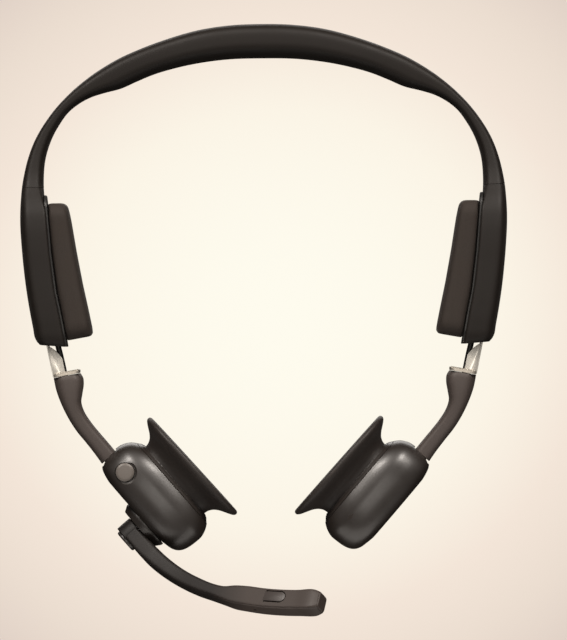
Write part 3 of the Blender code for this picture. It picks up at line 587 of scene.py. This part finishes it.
def leatherette(name, colour, rough):
    """A padded cushion's soft cover: pebbled grain with painted shade in its creases, and a faint sheen."""
    n = Material(name)
    pebbles = n.cells(0.55, "F1")
    creases = n.cells(0.55, "DISTANCE_TO_EDGE")
    fine = n.noise(0.12, 3.0, 0.6)
    patches = n.noise(7.0, 3.0, 0.5, distortion=0.4)
    painted_crease_shade = n.spread(creases, 1.0, 0.0, 0.0, 0.12)
    base = n.mix(n.spread(fine, 0.0, 1.0, 0.3, 0.7), tone(colour, 0.86), tone(colour, 1.14))
    # painted shade: the grain's creases are darkened
    base = n.mix(n.math("MULTIPLY", painted_crease_shade, 0.35), base, tone(colour, 0.55))
    base = n.mix(n.spread(patches, 0.0, 0.4, 0.35, 0.75), base, tone(colour, 1.2))
    gloss = n.spread(patches, rough - 0.05, rough + 0.06, 0.3, 0.7)
    height = n.math("SUBTRACT", n.math("MULTIPLY", fine, 0.25), n.math("MULTIPLY", pebbles, 0.6))
    n.dress(Base_Color=base, Roughness=gloss, Normal=n.bump(height, 0.45, 0.05), Specular_IOR_Level=0.25,
            Sheen_Weight=0.04, Sheen_Roughness=0.45, Sheen_Tint=(1.0, 0.94, 0.9, 1))
    return n.material


def printed_board(name):
    """Green solder resist with copper tracks under it."""
    n = Material(name)
    mapped = n.stretched((900.0, 900.0, 900.0))
    tracks = n.node("ShaderNodeTexVoronoi", Vector=mapped, Scale=1.0, Randomness=0.0)
    tracks.distance = "MANHATTAN"
    lines = n.spread(tracks.outputs["Distance"], 0.0, 1.0, 0.42, 0.48)
    fine = n.noise(0.2, 2.0)
    base = n.mix(lines, (0.012, 0.09, 0.045, 1), (0.03, 0.17, 0.08, 1))
    base = n.mix(n.spread(fine, 0.0, 0.3), base, (0.02, 0.12, 0.06, 1))
    n.dress(Base_Color=base, Roughness=n.spread(fine, 0.3, 0.5), Normal=n.bump(lines, 0.3, 0.04))
    return n.material


def make_materials():
    return {
        "soft_skin": moulded("soft_touch_skin", (0.0085, 0.0059, 0.0043), 0.58, 0.20, 0.45, 0.22, 0.15,
                             sheen=0.02, specular=0.30),
        "cushion": leatherette("cushion_cover", (0.0290, 0.0222, 0.0184), 0.74),
        "arm_plastic": moulded("arm_plastic", (0.0600, 0.0475, 0.0425), 0.54, 0.16, 0.18, 0.12, 0.2,
                               specular=0.4),
        "pod_plastic": moulded("pod_plastic", (0.0165, 0.0122, 0.0098), 0.40, 0.16, 0.22, 0.16, 0.3,
                               coat=0.15, specular=0.75),
        "silicone": moulded("pad_silicone", (0.0175, 0.0130, 0.0108), 0.55, 0.24, 0.18, 0.14, 0.5,
                            sheen=0.02, specular=0.4),
        # painted light: the boom's head end is painted up to 4.2 times lighter than its stem, for how light
        # falls on it
        "boom_plastic": moulded("boom_plastic", (0.0105, 0.0080, 0.0069), 0.50, 0.16, 0.18, 0.12, 0.3,
                                specular=0.32, fade=(-0.017, -0.006, 4.2)),
        "mute_plastic": moulded("mute_plastic", (0.042, 0.034, 0.031), 0.46, 0.16, 0.15, 0.12, 0.2),
        "button": moulded("button_plastic", (0.120, 0.104, 0.092), 0.42, 0.12, 0.12, 0.08, 0.3),
        # painted shade: the rail's edges are painted down to a quarter of its tone, as dark outlines
        "bright_metal": metal("rail_steel", (0.96, 0.91, 0.82), 0.33, (7000.0, 400.0, 7000.0),
                              edge_share=0.8, metallic=0.75, edge_tone=0.25),
        "spring_steel": metal("spring_steel", (0.45, 0.45, 0.46), 0.30, (500.0, 6000.0, 500.0)),
        "collar_metal": metal("collar_metal", (0.46, 0.42, 0.36), 0.38, (300.0, 6000.0, 6000.0),
                              metallic=0.7),
        "cable": moulded("cable_sheath", (0.012, 0.011, 0.010), 0.48, 0.3, 0.2, 0.1, 0.2),
        "copper": metal("coil_copper", (0.72, 0.38, 0.20), 0.34, (600.0, 600.0, 9000.0)),
        "magnet": metal("nickel_magnet", (0.55, 0.55, 0.56), 0.22, (2500.0, 2500.0, 2500.0), 0.1),
        "board": printed_board("circuit_board"),
        "battery_wrap": metal("battery_foil", (0.42, 0.43, 0.45), 0.36, (900.0, 900.0, 900.0), 0.35),
        "inner_plastic": moulded("inner_plastic", (0.010, 0.009, 0.008), 0.5, 0.2, 0.2, 0.1, 0.2),
    }


M = make_materials()


# ======== headband ========
def arch():
    """Stations from the left temple's foot over the crown to the right one.

    Each has its outer and inner edge, its half width and the powers of its outer and inner side.
    """
    rows = []
    for k, (o, i, w) in enumerate(zip(BAND_OUTER, BAND_INNER, BAND_HALF_WIDTH)):
        power = 4.2 if k < 15 else (4.1, 4.0, 4.0)[k - 15]
        rows.append([*o, *i, w, power, 2.6 if k < 14 else (2.8, 3.2, 4.0, 8.0)[k - 14]])
    for o, z, w in zip(HOUSE_OUTER, HOUSE_Z_INNER, HOUSE_HALF_WIDTH):
        rows.append([*o, seam(z) + HOUSE_EDGE, z, w, 4.0, 14.0])
    rows = np.array(rows)
    left = rows[:0:-1].copy()
    left[:, [0, 2]] *= -1
    return flow(np.vstack([left, rows]), 640, 6)


ARCH = arch()


def arch_split(side=0):
    """The band's stations above its feet, or one housing's below; both end exactly at the seam."""
    middle = (ARCH[:, 1] + ARCH[:, 3]) / 2
    above = middle > BAND_FOOT
    cuts = []
    for k in np.flatnonzero(above[1:] != above[:-1]):
        share = (BAND_FOOT - middle[k]) / (middle[k + 1] - middle[k])
        cuts.append(ARCH[k] + share * (ARCH[k + 1] - ARCH[k]))
    if side == 0:
        return np.vstack([cuts[0], ARCH[above], cuts[1]])
    rows = ARCH[~above & (ARCH[:, 0] * side > 0)]
    return np.vstack([cuts[1], rows]) if side == RIGHT else np.vstack([cuts[0], rows[::-1]])


def arch_ring(row):
    outer, inner, half_width, power, power_low = row[:2], row[2:4], *row[4:]
    half = np.linalg.norm(outer - inner) / 2
    return section(outer, inner, oval(half, half_width, power, 84, power_low), RIGHT)


def core(thick, half_width, low_z):
    """A flat strip in the middle of the band, down to a height on both sides."""
    rows = [r for r in ARCH[::4] if (r[1] + r[3]) / 2 > low_z]
    return shell_of([section(r[:2], r[2:4], oval(thick / 2, half_width, 12, 24), RIGHT) for r in rows])


def housing_cavity(side):
    rings = []
    rows = [(*o, z, w) for o, z, w in list(zip(HOUSE_OUTER, HOUSE_Z_INNER, HOUSE_HALF_WIDTH))[:-1]]
    for u, z_out, z_in, width in flow(rows, 40):
        lift = 0.6 if z_in < -86.5 else 0
        outer, inner = (u - HOUSE_WALL, z_out + lift), (seam(z_in) - 3.0, z_in + lift)
        half = math.dist(outer, inner) / 2
        rings.append(section(outer, inner, oval(half, width - HOUSE_WALL, 5, 40), side))
    return shell_of(rings)


def plate_screw(side, radius, low, high):
    return cylinder(lambda a, b, c: (side * (seam(SCREW_Z) + c), a, SCREW_Z + b), radius, low, high, 32)


def make_band():
    rings = [arch_ring(r) for r in arch_split()]
    piece("headband_skin", shell_of(rounded(rings, SEAM_ROUND, SEAM_ROUND)), "soft_skin",
          cut=[core(SLOT_THICK, SLOT_HALF_WIDTH, SLOT_LOW)])
    for tag, side in SIDES.items():
        rings = [arch_ring(r) for r in arch_split(side)]
        reach = (-RAIL_HALF_WIDTH - 0.5, RAIL_HALF_WIDTH + 0.5)
        rail_gate = block(slider_place(side), (-3.5, 6.5), (-RAIL_THICK / 2 - 0.4, FLANGE_DEPTH + 1.1), reach)
        cuts = [core(SLOT_THICK, SLOT_HALF_WIDTH, SLOT_LOW), housing_cavity(side), rail_gate,
                shell_of(plate_rings(side, 0.05), (0.6,)),
                plate_screw(side, SCREW_RADIUS + GAP, -1, 2.5)]
        if side == LEFT:
            cuts.append(block(socket_place, (-4.7, 4.7), (-1.8, 1.8), (7.0, 18), 0.5))
        housing = shell_of(rounded(rings, SEAM_ROUND, 0.5, 5))
        piece(f"temple_housing_{tag}", housing, "soft_skin", cut=cuts)


def half_width_at(edge, full, corner):
    """The half width of a round-cornered plate at a distance from its end."""
    return full if edge >= corner else full - corner + math.sqrt(corner**2 - (corner - edge) ** 2)


def plate_rings(side, spare=0.0):
    """The plate that closes a housing, or the room for it."""
    rings = []
    depth = PLATE_TOP - PLATE_BOTTOM
    near_ends = [0.004, 0.01, 0.02, 0.03, 0.97, 0.98, 0.99, 0.996]
    for share in np.sort(np.concatenate([np.linspace(0, 1, 60), near_ends])):
        z = PLATE_TOP - depth * share
        edge = min(share, 1 - share) * depth + 0.25
        width = spare + half_width_at(edge, PLATE_HALF_WIDTH, PLATE_CORNER)
        thick = PLATE_THICK / 2 - max(0, 0.45 - edge) * 0.4
        row = box_ring(thick + spare, width, min(0.2, thick * 0.9), 3)
        rings.append(section((seam(z) + PLATE_THICK, z), (seam(z) - 0.1, z), row, side))
    return rings


def make_plate(tag, side):
    hole = plate_screw(side, SCREW_RADIUS + GAP, -3, 3)
    plate = shell_of(plate_rings(side), (0.6,))
    piece(f"temple_plate_{tag}", plate, "inner_plastic", cut=[hole])


def cushion_block(side, shrink):
    heights, inners = zip(*sorted(CUSHION_INNER))
    rings = []
    length = CUSHION_TOP - CUSHION_BOTTOM - 2 * shrink
    top, bottom = CUSHION_INNER[0][0], CUSHION_INNER[-1][0]
    first, last = [0, 0.006, 0.014, 0.024], [0.976, 0.986, 0.994, 1]
    for share in np.concatenate([first, np.linspace(0.04, 0.96, 40), last]):
        z_out = CUSHION_TOP - shrink - length * share
        z_in = top - shrink + (bottom - top + 2 * shrink) * share
        edge = min(share, 1 - share) * length
        width = half_width_at(edge + 0.4, CUSHION_HALF_WIDTH - shrink, CUSHION_CORNER)
        bulge = max(0.0, 1.3 - edge)
        inner = (float(np.interp(z_in, heights, inners)) + shrink * 0.4 + bulge**2 * 0.45, z_in)
        outer = (seam(z_out) + 0.02 - bulge**2 * 0.1, z_out)
        rings.append(section(outer, inner, oval(math.dist(outer, inner) / 2, width, 6.5, 56, 5.0), side))
    return shell_of(rings)


def swell(obj):
    """Cloth under pressure fills the cushion out; no point moves further than the limit."""
    modify(obj, "REMESH", mode="VOXEL", voxel_size=CLOTH_VOXEL * MM)
    before = np.array([v.co[:] for v in obj.data.vertices])
    # cloth works badly at this size, so the cushion is simulated larger
    obj.data.vertices.foreach_set("co", (before * CLOTH_SCALE).astype(np.float32).ravel())
    cloth = obj.modifiers.new("cloth", "CLOTH")
    for key, value in CLOTH_SETTINGS.items():
        setattr(cloth.settings, key, value)
    cloth.settings.effector_weights.gravity = 0
    cloth.collision_settings.use_collision = False
    cloth.point_cache.frame_start, cloth.point_cache.frame_end = 1, CLOTH_FRAMES
    scene = bpy.context.scene
    for number in range(1, CLOTH_FRAMES + 1):
        scene.frame_set(number)
    settle(obj)
    after = np.array([v.co[:] for v in obj.data.vertices]) / CLOTH_SCALE
    scene.frame_set(1)
    move = after - before
    size = np.linalg.norm(move, axis=1)
    scale = np.minimum(1, CLOTH_LIMIT * MM / np.maximum(size, 1e-9))
    obj.data.vertices.foreach_set("co", (before + move * scale[:, None]).astype(np.float32).ravel())
    obj.data.update()
    modify(obj, "SMOOTH", iterations=1, factor=0.5)


def make_cushion(tag, side):
    node = f"temple_cushion_{tag}"
    obj = to_object(f"{node}_look", cushion_block(side, CLOTH_SHRINK))
    swell(obj)
    finish_piece(obj, node, "cushion", 60)


# ======== slider and arm ========
def along_curve(rows):
    """Rows with the directions in which their first two columns run."""
    ways = np.gradient(rows[:, :2], axis=0)
    return [(row, way / np.linalg.norm(way)) for row, way in zip(rows, ways)]


def tube(points, radius, side):
    circle = oval(radius, radius, 2, 28)
    return [[(side * (u - a * way[1]), b, z + a * way[0]) for a, b in circle]
            for (u, z), way in along_curve(flow(points, 120, 3))]


def lead_points():
    place = slider_place(RIGHT)
    down_the_rail = [(place(a, b, 0)[0], place(a, b, 0)[2]) for a, b in LEAD_ROUTE]
    return down_the_rail + LEAD_IN_ARM


def flange_outline():
    curve = flow([(-0.6, -0.1), (-0.7, 0.4), (-1.6, 1.4), (-3.0, 2.6), (-4.8, FLANGE_DEPTH)], 22)
    return [*curve, (RAIL_BOTTOM, FLANGE_DEPTH), (RAIL_BOTTOM, RAIL_STEP_IN),
            (RAIL_STEP + 0.1, RAIL_STEP_IN), (RAIL_STEP + 0.1, -0.1)]


def make_rail(tag, side):
    place = slider_place(side)
    half = RAIL_THICK / 2
    width = (-RAIL_HALF_WIDTH, RAIL_HALF_WIDTH)
    strip = block(place, (RAIL_STEP, RAIL_TOP), (-half, half), width)
    stop = block(place, (RAIL_TOP - STOP_LENGTH, RAIL_TOP), (-half, half + 0.01),
                 (-STOP_HALF_WIDTH, STOP_HALF_WIDTH))
    lower = block(place, (RAIL_BOTTOM, RAIL_STEP + 1), (RAIL_STEP_IN - half, RAIL_STEP_IN + half), width)
    flanges = []
    for end in (-1, 1):
        out = end * (RAIL_HALF_WIDTH + 0.02)
        flanges.append(prism(flange_outline(), place, *sorted((out, out - end * FLANGE_THICK))))
    piece(f"slider_rail_{tag}", strip, "bright_metal", join=[stop, lower] + flanges, edge=0.12)
    lead = shell_of(tube(lead_points(), LEAD_RADIUS, side))
    piece(f"slider_lead_{tag}", lead, "cable")


def arm_rings(side, stations, count=64, dense=150, ease=6, power=3.2):
    rings = []
    for row in flow([[*outer, *inner, width] for outer, inner, width in stations], dense, ease):
        outer, inner, width = row[:2], row[2:4], row[4]
        half = np.linalg.norm(outer - inner) / 2
        rings.append(section(outer, inner, oval(half, width, power, count), side))
    return rings


def tongue(side, clearance=0.0, length=4.9):
    radius = TONGUE_HALF_THICK + clearance
    outline = [(PIVOT_T - length, PIVOT_N - radius), (PIVOT_T - length, PIVOT_N + radius)]
    for k in range(25):
        angle = math.pi / 2 - math.pi * k / 24
        outline.append((PIVOT_T + radius * math.cos(angle), PIVOT_N + radius * math.sin(angle)))
    width = TONGUE_HALF_WIDTH + (GAP if clearance else 0)
    return prism(outline, swapped(pod_place(side)), -width, width)


def pivot_cylinder(side, radius, half_length):
    place = swapped(pod_place(side))
    return cylinder(place, radius, -half_length, half_length, 40, (PIVOT_T, PIVOT_N))


def make_arm(tag, side):
    place = slider_place(side)
    width = RAIL_HALF_WIDTH + GAP
    half, near = RAIL_THICK / 2 + NOTCH_FIT, RAIL_HALF_WIDTH + 0.08
    above, below = -5, -13
    step_in = (RAIL_STEP_IN - half, RAIL_STEP_IN + half)
    notch = [block(place, (RAIL_STEP - NOTCH_FIT, above), (-half, half), (-near, near)),
             block(place, (below, RAIL_STEP + 1.06), step_in, (-near, near)),
             shell_of(tube(lead_points(), LEAD_RADIUS + 0.1, side))]
    for end in (-1, 1):
        reach = sorted((end * near, end * (RAIL_HALF_WIDTH - FLANGE_THICK - NOTCH_FIT)))
        notch.append(block(place, (below, above), (-half, FLANGE_DEPTH + NOTCH_FIT), reach))
    collar = shell_of(rounded(arm_rings(side, COLLAR, 72, 20, 0, 8), 0.25, 0.15))
    piece(f"arm_collar_{tag}", collar, "collar_metal", cut=notch)
    depth = (RAIL_STEP_IN - RAIL_THICK / 2 - GAP, FLANGE_DEPTH + 0.9)
    socket = block(place, (RAIL_BOTTOM - GAP, above), depth, (-width, width))
    bore = shell_of(tube(lead_points(), LEAD_RADIUS + GAP, side))
    hole = pivot_cylinder(side, PIN_RADIUS + GAP, 9)
    rings = arm_rings(side, ARM)
    piece(f"lower_arm_{tag}", shell_of(rounded(rings, 0.12, 0.15)), "arm_plastic",
          join=[tongue(side)], cut=[socket, bore, hole])


# ======== pods ========
def pod_rings(profile, side, dense=70, shrink=0.0, count=112, ease=2):
    place = pod_place(side)
    rings = []
    rows = flow([(low, n, high, width) for n, low, high, width in profile], dense, ease)
    for low, n, high, width in rows:
        middle, half = (low + high) / 2, (high - low) / 2
        rings.append(np.array([place(middle + a, b, n)
                               for a, b in oval(half - shrink, width - shrink, POD_POWER, count)]))
    return rings


def pod_cavity(side):
    inner = [row for row in POD_PROFILE if row[0] < 6.3]
    top = (POD_PROFILE[0][0] - POD_WALL, *POD_PROFILE[2][1:])
    mouth = (-8.0, *POD_PROFILE[-1][1:])
    return shell_of(pod_rings([top] + inner + [mouth], side, 40, POD_WALL, 72, 0))


def volume_block(t, half, heights, edge=0.0):
    """A block about a volume button, from half its length and width and its range of heights."""
    reach = (VOLUME_N - half[1], VOLUME_N + half[1])
    return block(pod_place(LEFT), (t - half[0], t + half[0]), heights, reach, edge)


def make_pod(tag, side):
    place = pod_place(side)
    cuts = [tongue(side, 0.75, 9), pivot_cylinder(side, PIN_RADIUS + GAP, PIN_HALF_LENGTH + GAP),
            block(swapped(place), *ARM_RECESS)]
    if side == LEFT:
        cuts.append(cylinder(about_n(place, BOOM_T), AXLE_RADIUS + GAP, 5, 9, 40))
        cuts.append(cylinder(main_button_place, MAIN_BUTTON_RADIUS + 0.22, 4, 20, 64))
        cuts.append(turned(main_button_place, [(0, 11.3), (3.2, 11.3), (3.75, 11.75), (3.75, 20), (0, 20)]))
        for t in VOLUME_T:
            cuts.append(volume_block(t, VOLUME_HOLE, (7.5, 18), 0.3))
    node = f"pod_shell_{tag}"
    obj = to_object(f"{node}_look", shell_of(pod_rings(POD_PROFILE, side), dome=(0.12, 0)))
    combine(obj, [pod_cavity(side)], "DIFFERENCE")
    combine(obj, [block(swapped(place), *PIVOT_BOSS)], "UNION")
    combine(obj, cuts, "DIFFERENCE")
    finish_piece(obj, node, "pod_plastic")
    rings = rounded(pod_rings(COVER_PROFILE, side, 14, 0, 112, 0), 0.12, 0.2, 3)
    piece(f"pod_cover_{tag}", shell_of(rings), "pod_plastic")


def make_pad(tag, side):
    place = pod_place(side)
    rings = []
    for low, n, high, width in flow([(low, n, high, width) for n, low, high, width in PAD_PROFILE], 60, 2):
        middle, half = (low + high) / 2, (high - low) / 2
        share = (-8.0 - n) / 7.5
        ring = [(middle + a, b) for a, b in oval(half, width, 2.3, 112)]
        rings.append([place(t, b, n + share * (PAD_LEAN[0] + PAD_LEAN[1] * t)) for t, b in ring])
    pad = shell_of(rings, (0.93, 0.8, 0.5, 0.2), (0, 0.1))
    piece(f"contact_pad_{tag}", pad, "silicone")


# ======== buttons on the left pod ========
def make_buttons():
    r = MAIN_BUTTON_RADIUS
    profile = [(0, 7.4), (3.3, 7.4), (3.3, 7.9), (r, 7.9), (r, 11.7), (r - 0.7, 12.05), (0, 12.2)]
    piece("main_button", turned(main_button_place, soft_profile(profile, 0.22)), "button")
    for name, t, face in zip(("volume_up", "volume_down"), VOLUME_T, (12.75, 13.15)):
        flange = volume_block(t, VOLUME_FLANGE, (9.2, 9.9))
        cap = volume_block(t, VOLUME_CAP, (9.3, face), 0.45)
        piece(f"{name}_button", cap, "button", join=[flange])


# ======== boom ========
def boom_sections():
    return along_curve(flow(BOOM_STATIONS, 240, 6))


def boom_ring(row, way, points):
    place = boom_place()
    return [place(row[0] - a * way[1], b, row[1] + a * way[0]) for a, b in points]


def edge_groove():
    """A fine groove along the lower front edge of the boom's head."""
    circle = oval(GROOVE_RADIUS, GROOVE_RADIUS, 2, 12)
    rings = []
    for row, way in boom_sections()[118:228:3]:
        thick, wide = row[2:4]
        rings.append(boom_ring(row, way, [(thick / 2 - 0.1 + a, wide / 2 - 0.1 + b) for a, b in circle]))
    return shell_of(rings)


def mute_outline(x, half):
    """The mute button seen from the front: straight at one end and round at the other."""
    outline = [(x - MUTE_HALF_LENGTH, -half), (x - MUTE_HALF_LENGTH, half)]
    for k in range(17):
        angle = math.pi / 2 - math.pi * k / 16
        outline.append((x + MUTE_HALF_LENGTH - half + half * math.cos(angle), half * math.sin(angle)))
    return outline


def make_boom():
    centre, head = about_n(pod_place(LEFT), BOOM_T), head_place()
    bore = cylinder(centre, AXLE_RADIUS + GAP, 0, 20, 40)
    base = [(0, 7.75), (8.2, 7.75), (8.1, 8.5), (7.0, 10.25), (0, 10.25)]
    piece("boom_base", turned(centre, soft_profile(base, 0.25)), "pod_plastic", cut=[bore])
    root = [(0, ROOT_LOW), (ROOT_RADIUS, ROOT_LOW), (ROOT_RADIUS, ROOT_HIGH), (0, ROOT_HIGH)]
    x = MUTE_ALONG
    cuts = [cylinder(centre, AXLE_RADIUS + GAP, 0, 20, 40),
            cylinder(centre, BORE_RADIUS, BORE_FLOOR, 20, 40),
            block(head, (0.9, 18.3), (-6, 1.9), (-2.1, 2.1)),
            prism(mute_outline(x + 0.2, 2.0), swapped(head), 1.7, 6),
            block(head, (x - 4.5, x + 4.5), (0, 1.75), (-1.9, 1.9)),
            edge_groove(),
            block(head, (MIC_ALONG - 0.5, MIC_ALONG + 0.5), (-0.35, 0.35), (1, 5), 0.2)]
    rings = [boom_ring(row, way, oval(row[2] / 2, row[3] / 2, row[4], 64)) for row, way in boom_sections()]
    piece("boom_arm", shell_of(rounded(rings, 0, 0.4)), "boom_plastic",
          join=[turned(centre, soft_profile(root, 0.35))], cut=cuts)
    cap = [(0, 15.25), (3.65, 15.25), (3.65, 16.1), (3.25, 16.4), (0, 16.4)]
    piece("boom_cap", turned(centre, soft_profile(cap, 0.15)), "pod_plastic")
    cover = block(head, (1.2, 18.0), (-2.85, -2.1), (-1.8, 1.8), 0.15)
    piece("mic_cover", cover, "boom_plastic")
    foot = block(head, (x - 4.4, x + 4.4), (0.85, 1.55), (-1.75, 1.75))
    cap = prism(mute_outline(x, 1.6), swapped(head), 0.9, 3.1)
    piece("mute_button", cap, "mute_plastic", join=[foot], edge=0.12)


def dress_cad():
    """The CAD nodes that stay get the full materials of their slots."""
    by_slot = {
        "spring_steel": ["band_spring_strip", "plate_screw", "pod_hinge_pin", "transducer_yoke",
                         "transducer_plate", "boom_axle", "boom_washer"],
        "cable": ["band_flat_cable"],
        "battery_wrap": ["battery_right"],
        "board": ["main_board_left", "mic_board"],
        "inner_plastic": ["bluetooth_chip_left", "slider_guide", "main_switch", "volume_up_switch",
                          "volume_down_switch", "mute_switch"],
        "bright_metal": ["charge_socket_left"],
        "magnet": ["transducer_magnet", "microphone"],
        "copper": ["voice_coil"],
    }
    for slot, kinds in by_slot.items():
        for kind in kinds:
            for node in (kind, f"{kind}_left", f"{kind}_right"):
                if node in frame["nodes"]:
                    for material_slot in frame["nodes"][node].material_slots:
                        material_slot.material = M[slot]


# ======== stage ========
CAMERA_AWAY = 4.0
VIEW_HEIGHT = 0.1984
VIEW_CENTRE = (0.00590, -0.08115)
VIEW_TURN = math.radians(0.45)
BACKDROP_WIDE, BACKDROP_TALL = 0.0879 / CAMERA_AWAY, 0.0992 / CAMERA_AWAY
BACKDROP = [(0.0, (254, 251, 238)), (0.25, (251, 244, 230)), (0.5, (243, 229, 216)), (0.75, (235, 221, 208)),
            (1.0, (225, 210, 199))]
ROOM = [(0.0, 0.12), (0.5, 0.18), (1.0, 0.45)]
ROOM_TINT = (1.0, 0.97, 0.93)
ROOM_BACK = 0.07


def linear(value):
    value /= 255.0
    return value / 12.92 if value <= 0.04045 else ((value + 0.055) / 1.055) ** 2.4


def background(n, value, stops, strength=1.0):
    """A background in the colours of a ramp."""
    ramp = n.node("ShaderNodeValToRGB", Fac=value)
    elements = ramp.color_ramp.elements
    while len(elements) < len(stops):
        elements.new(0.5)
    for element, (at, colour) in zip(elements, stops):
        element.position = at
        element.color = (*colour, 1)
    made = n.node("ShaderNodeBackground", Color=ramp.outputs["Color"], Strength=strength)
    return made.outputs["Background"]


def make_world():
    """A pale backdrop for the camera's own rays, and a soft room for all others."""
    world = bpy.data.worlds.new("studio")
    bpy.context.scene.world = world
    world.use_nodes = True
    world.node_tree.nodes.clear()
    n = Nodes(world.node_tree)
    ways = n.node("ShaderNodeTexCoord").outputs["Generated"]
    x, y, z = n.node("ShaderNodeSeparateXYZ", Vector=ways).outputs
    # brightest behind the object's middle, and a little darker towards the picture's corners
    wide = n.math("MULTIPLY", n.math("POWER", n.math("DIVIDE", x, BACKDROP_WIDE), 2.0), 0.42)
    tall = n.math("MULTIPLY", n.math("POWER", n.math("DIVIDE", z, BACKDROP_TALL), 2.0), 0.58)
    elsewhere = n.math("MULTIPLY", n.math("LESS_THAN", y, 0.0), 10.0)
    far = n.math("ADD", n.math("ADD", wide, tall), elsewhere)
    seen = background(n, far, [(at, [linear(c) for c in colour]) for at, colour in BACKDROP])
    # the side of the room behind the object is dark, which keeps its outlines dark
    shades = [(at, [value * tint for tint in ROOM_TINT]) for at, value in ROOM]
    front = n.spread(y, 1.0, ROOM_BACK, -0.45, 0.25)
    room = background(n, n.spread(z, 0.0, 1.0, -1.0, 1.0), shades, front)
    camera_ray = n.node("ShaderNodeLightPath").outputs["Is Camera Ray"]
    n.node("ShaderNodeOutputWorld", Surface=n.mix_shaders(camera_ray, room, seen))


def area_light(name, place, aim, size, energy, colour):
    data = bpy.data.lights.new(name, "AREA")
    data.shape = "RECTANGLE"
    data.size, data.size_y = size
    data.energy = energy
    data.color = colour
    obj = bpy.data.objects.new(name, data)
    obj.location = place
    way = Vector(aim) - Vector(place)
    obj.rotation_euler = way.to_track_quat("-Z", "Y").to_euler()
    bpy.context.scene.collection.objects.link(obj)


def make_camera():
    data = bpy.data.cameras.new("camera")
    data.type = "PERSP"
    data.sensor_fit = "VERTICAL"
    data.sensor_height = 36.0
    data.lens = 36.0 * CAMERA_AWAY / VIEW_HEIGHT
    data.clip_start, data.clip_end = 0.5, 20.0
    obj = bpy.data.objects.new("camera", data)
    obj.location = (VIEW_CENTRE[0], -CAMERA_AWAY, VIEW_CENTRE[1])
    obj.rotation_euler = (math.pi / 2, VIEW_TURN, 0)
    bpy.context.scene.collection.objects.link(obj)
    bpy.context.scene.camera = obj


def make_floor():
    """A pale floor well below the object that fades out at its rim, and isn't seen from below."""
    bm = bmesh.new()
    bmesh.ops.create_grid(bm, x_segments=24, y_segments=24, size=600)
    for v in bm.verts:
        v.co.z = -300
    floor = to_object("floor", bm)
    n = Material("pale_floor")
    length = n.node("ShaderNodeVectorMath", Vector=n.coordinates)
    length.operation = "LENGTH"
    # the floor is 0.3 m below the origin, so a point's distance from the origin grows towards the rim
    fade = n.spread(length.outputs["Value"], 1.0, 0.0, 0.40, 0.66)
    grain = n.noise(1.5, 2.0)
    n.dress(Base_Color=n.mix(grain, (0.80, 0.76, 0.70, 1), (0.84, 0.80, 0.74, 1)), Roughness=0.8)
    back = n.node("ShaderNodeNewGeometry").outputs["Backfacing"]
    clear = n.node("ShaderNodeBsdfTransparent").outputs["BSDF"]
    share = n.math("MULTIPLY", fade, n.math("SUBTRACT", 1.0, back))
    both = n.mix_shaders(share, clear, n.shader.outputs["BSDF"])
    n.set(n.tree.nodes["Material Output"].inputs["Surface"], both)
    floor.data.materials.append(n.material)


def make_lights():
    for tag, side in SIDES.items():
        area_light(tag, (side * 0.46, -0.60, 0.62), (0, 0, -0.1), (0.22, 0.22), 8.0, (1.0, 0.93, 0.86))
    area_light("front", (0.0, -1.3, -0.12), (0, 0, -0.12), (0.30, 0.30), 2.0, (1.0, 0.94, 0.87))
    area_light("below", (0.0, -0.06, -0.285), (0, 0, -0.14), (0.30, 0.15), 0.18, (1.0, 0.93, 0.86))
    area_light("behind", (0.0, 1.0, 0.45), (0, 0, -0.1), (1.0, 0.5), 3.5, (1.0, 0.96, 0.92))


make_band()
for tag, side in SIDES.items():
    make_plate(tag, side)
    make_cushion(tag, side)
    make_rail(tag, side)
    make_arm(tag, side)
    make_pod(tag, side)
    make_pad(tag, side)
make_buttons()
make_boom()
dress_cad()
make_world()
make_camera()
make_floor()
make_lights()
bpy.context.scene.view_settings.view_transform = "Standard"
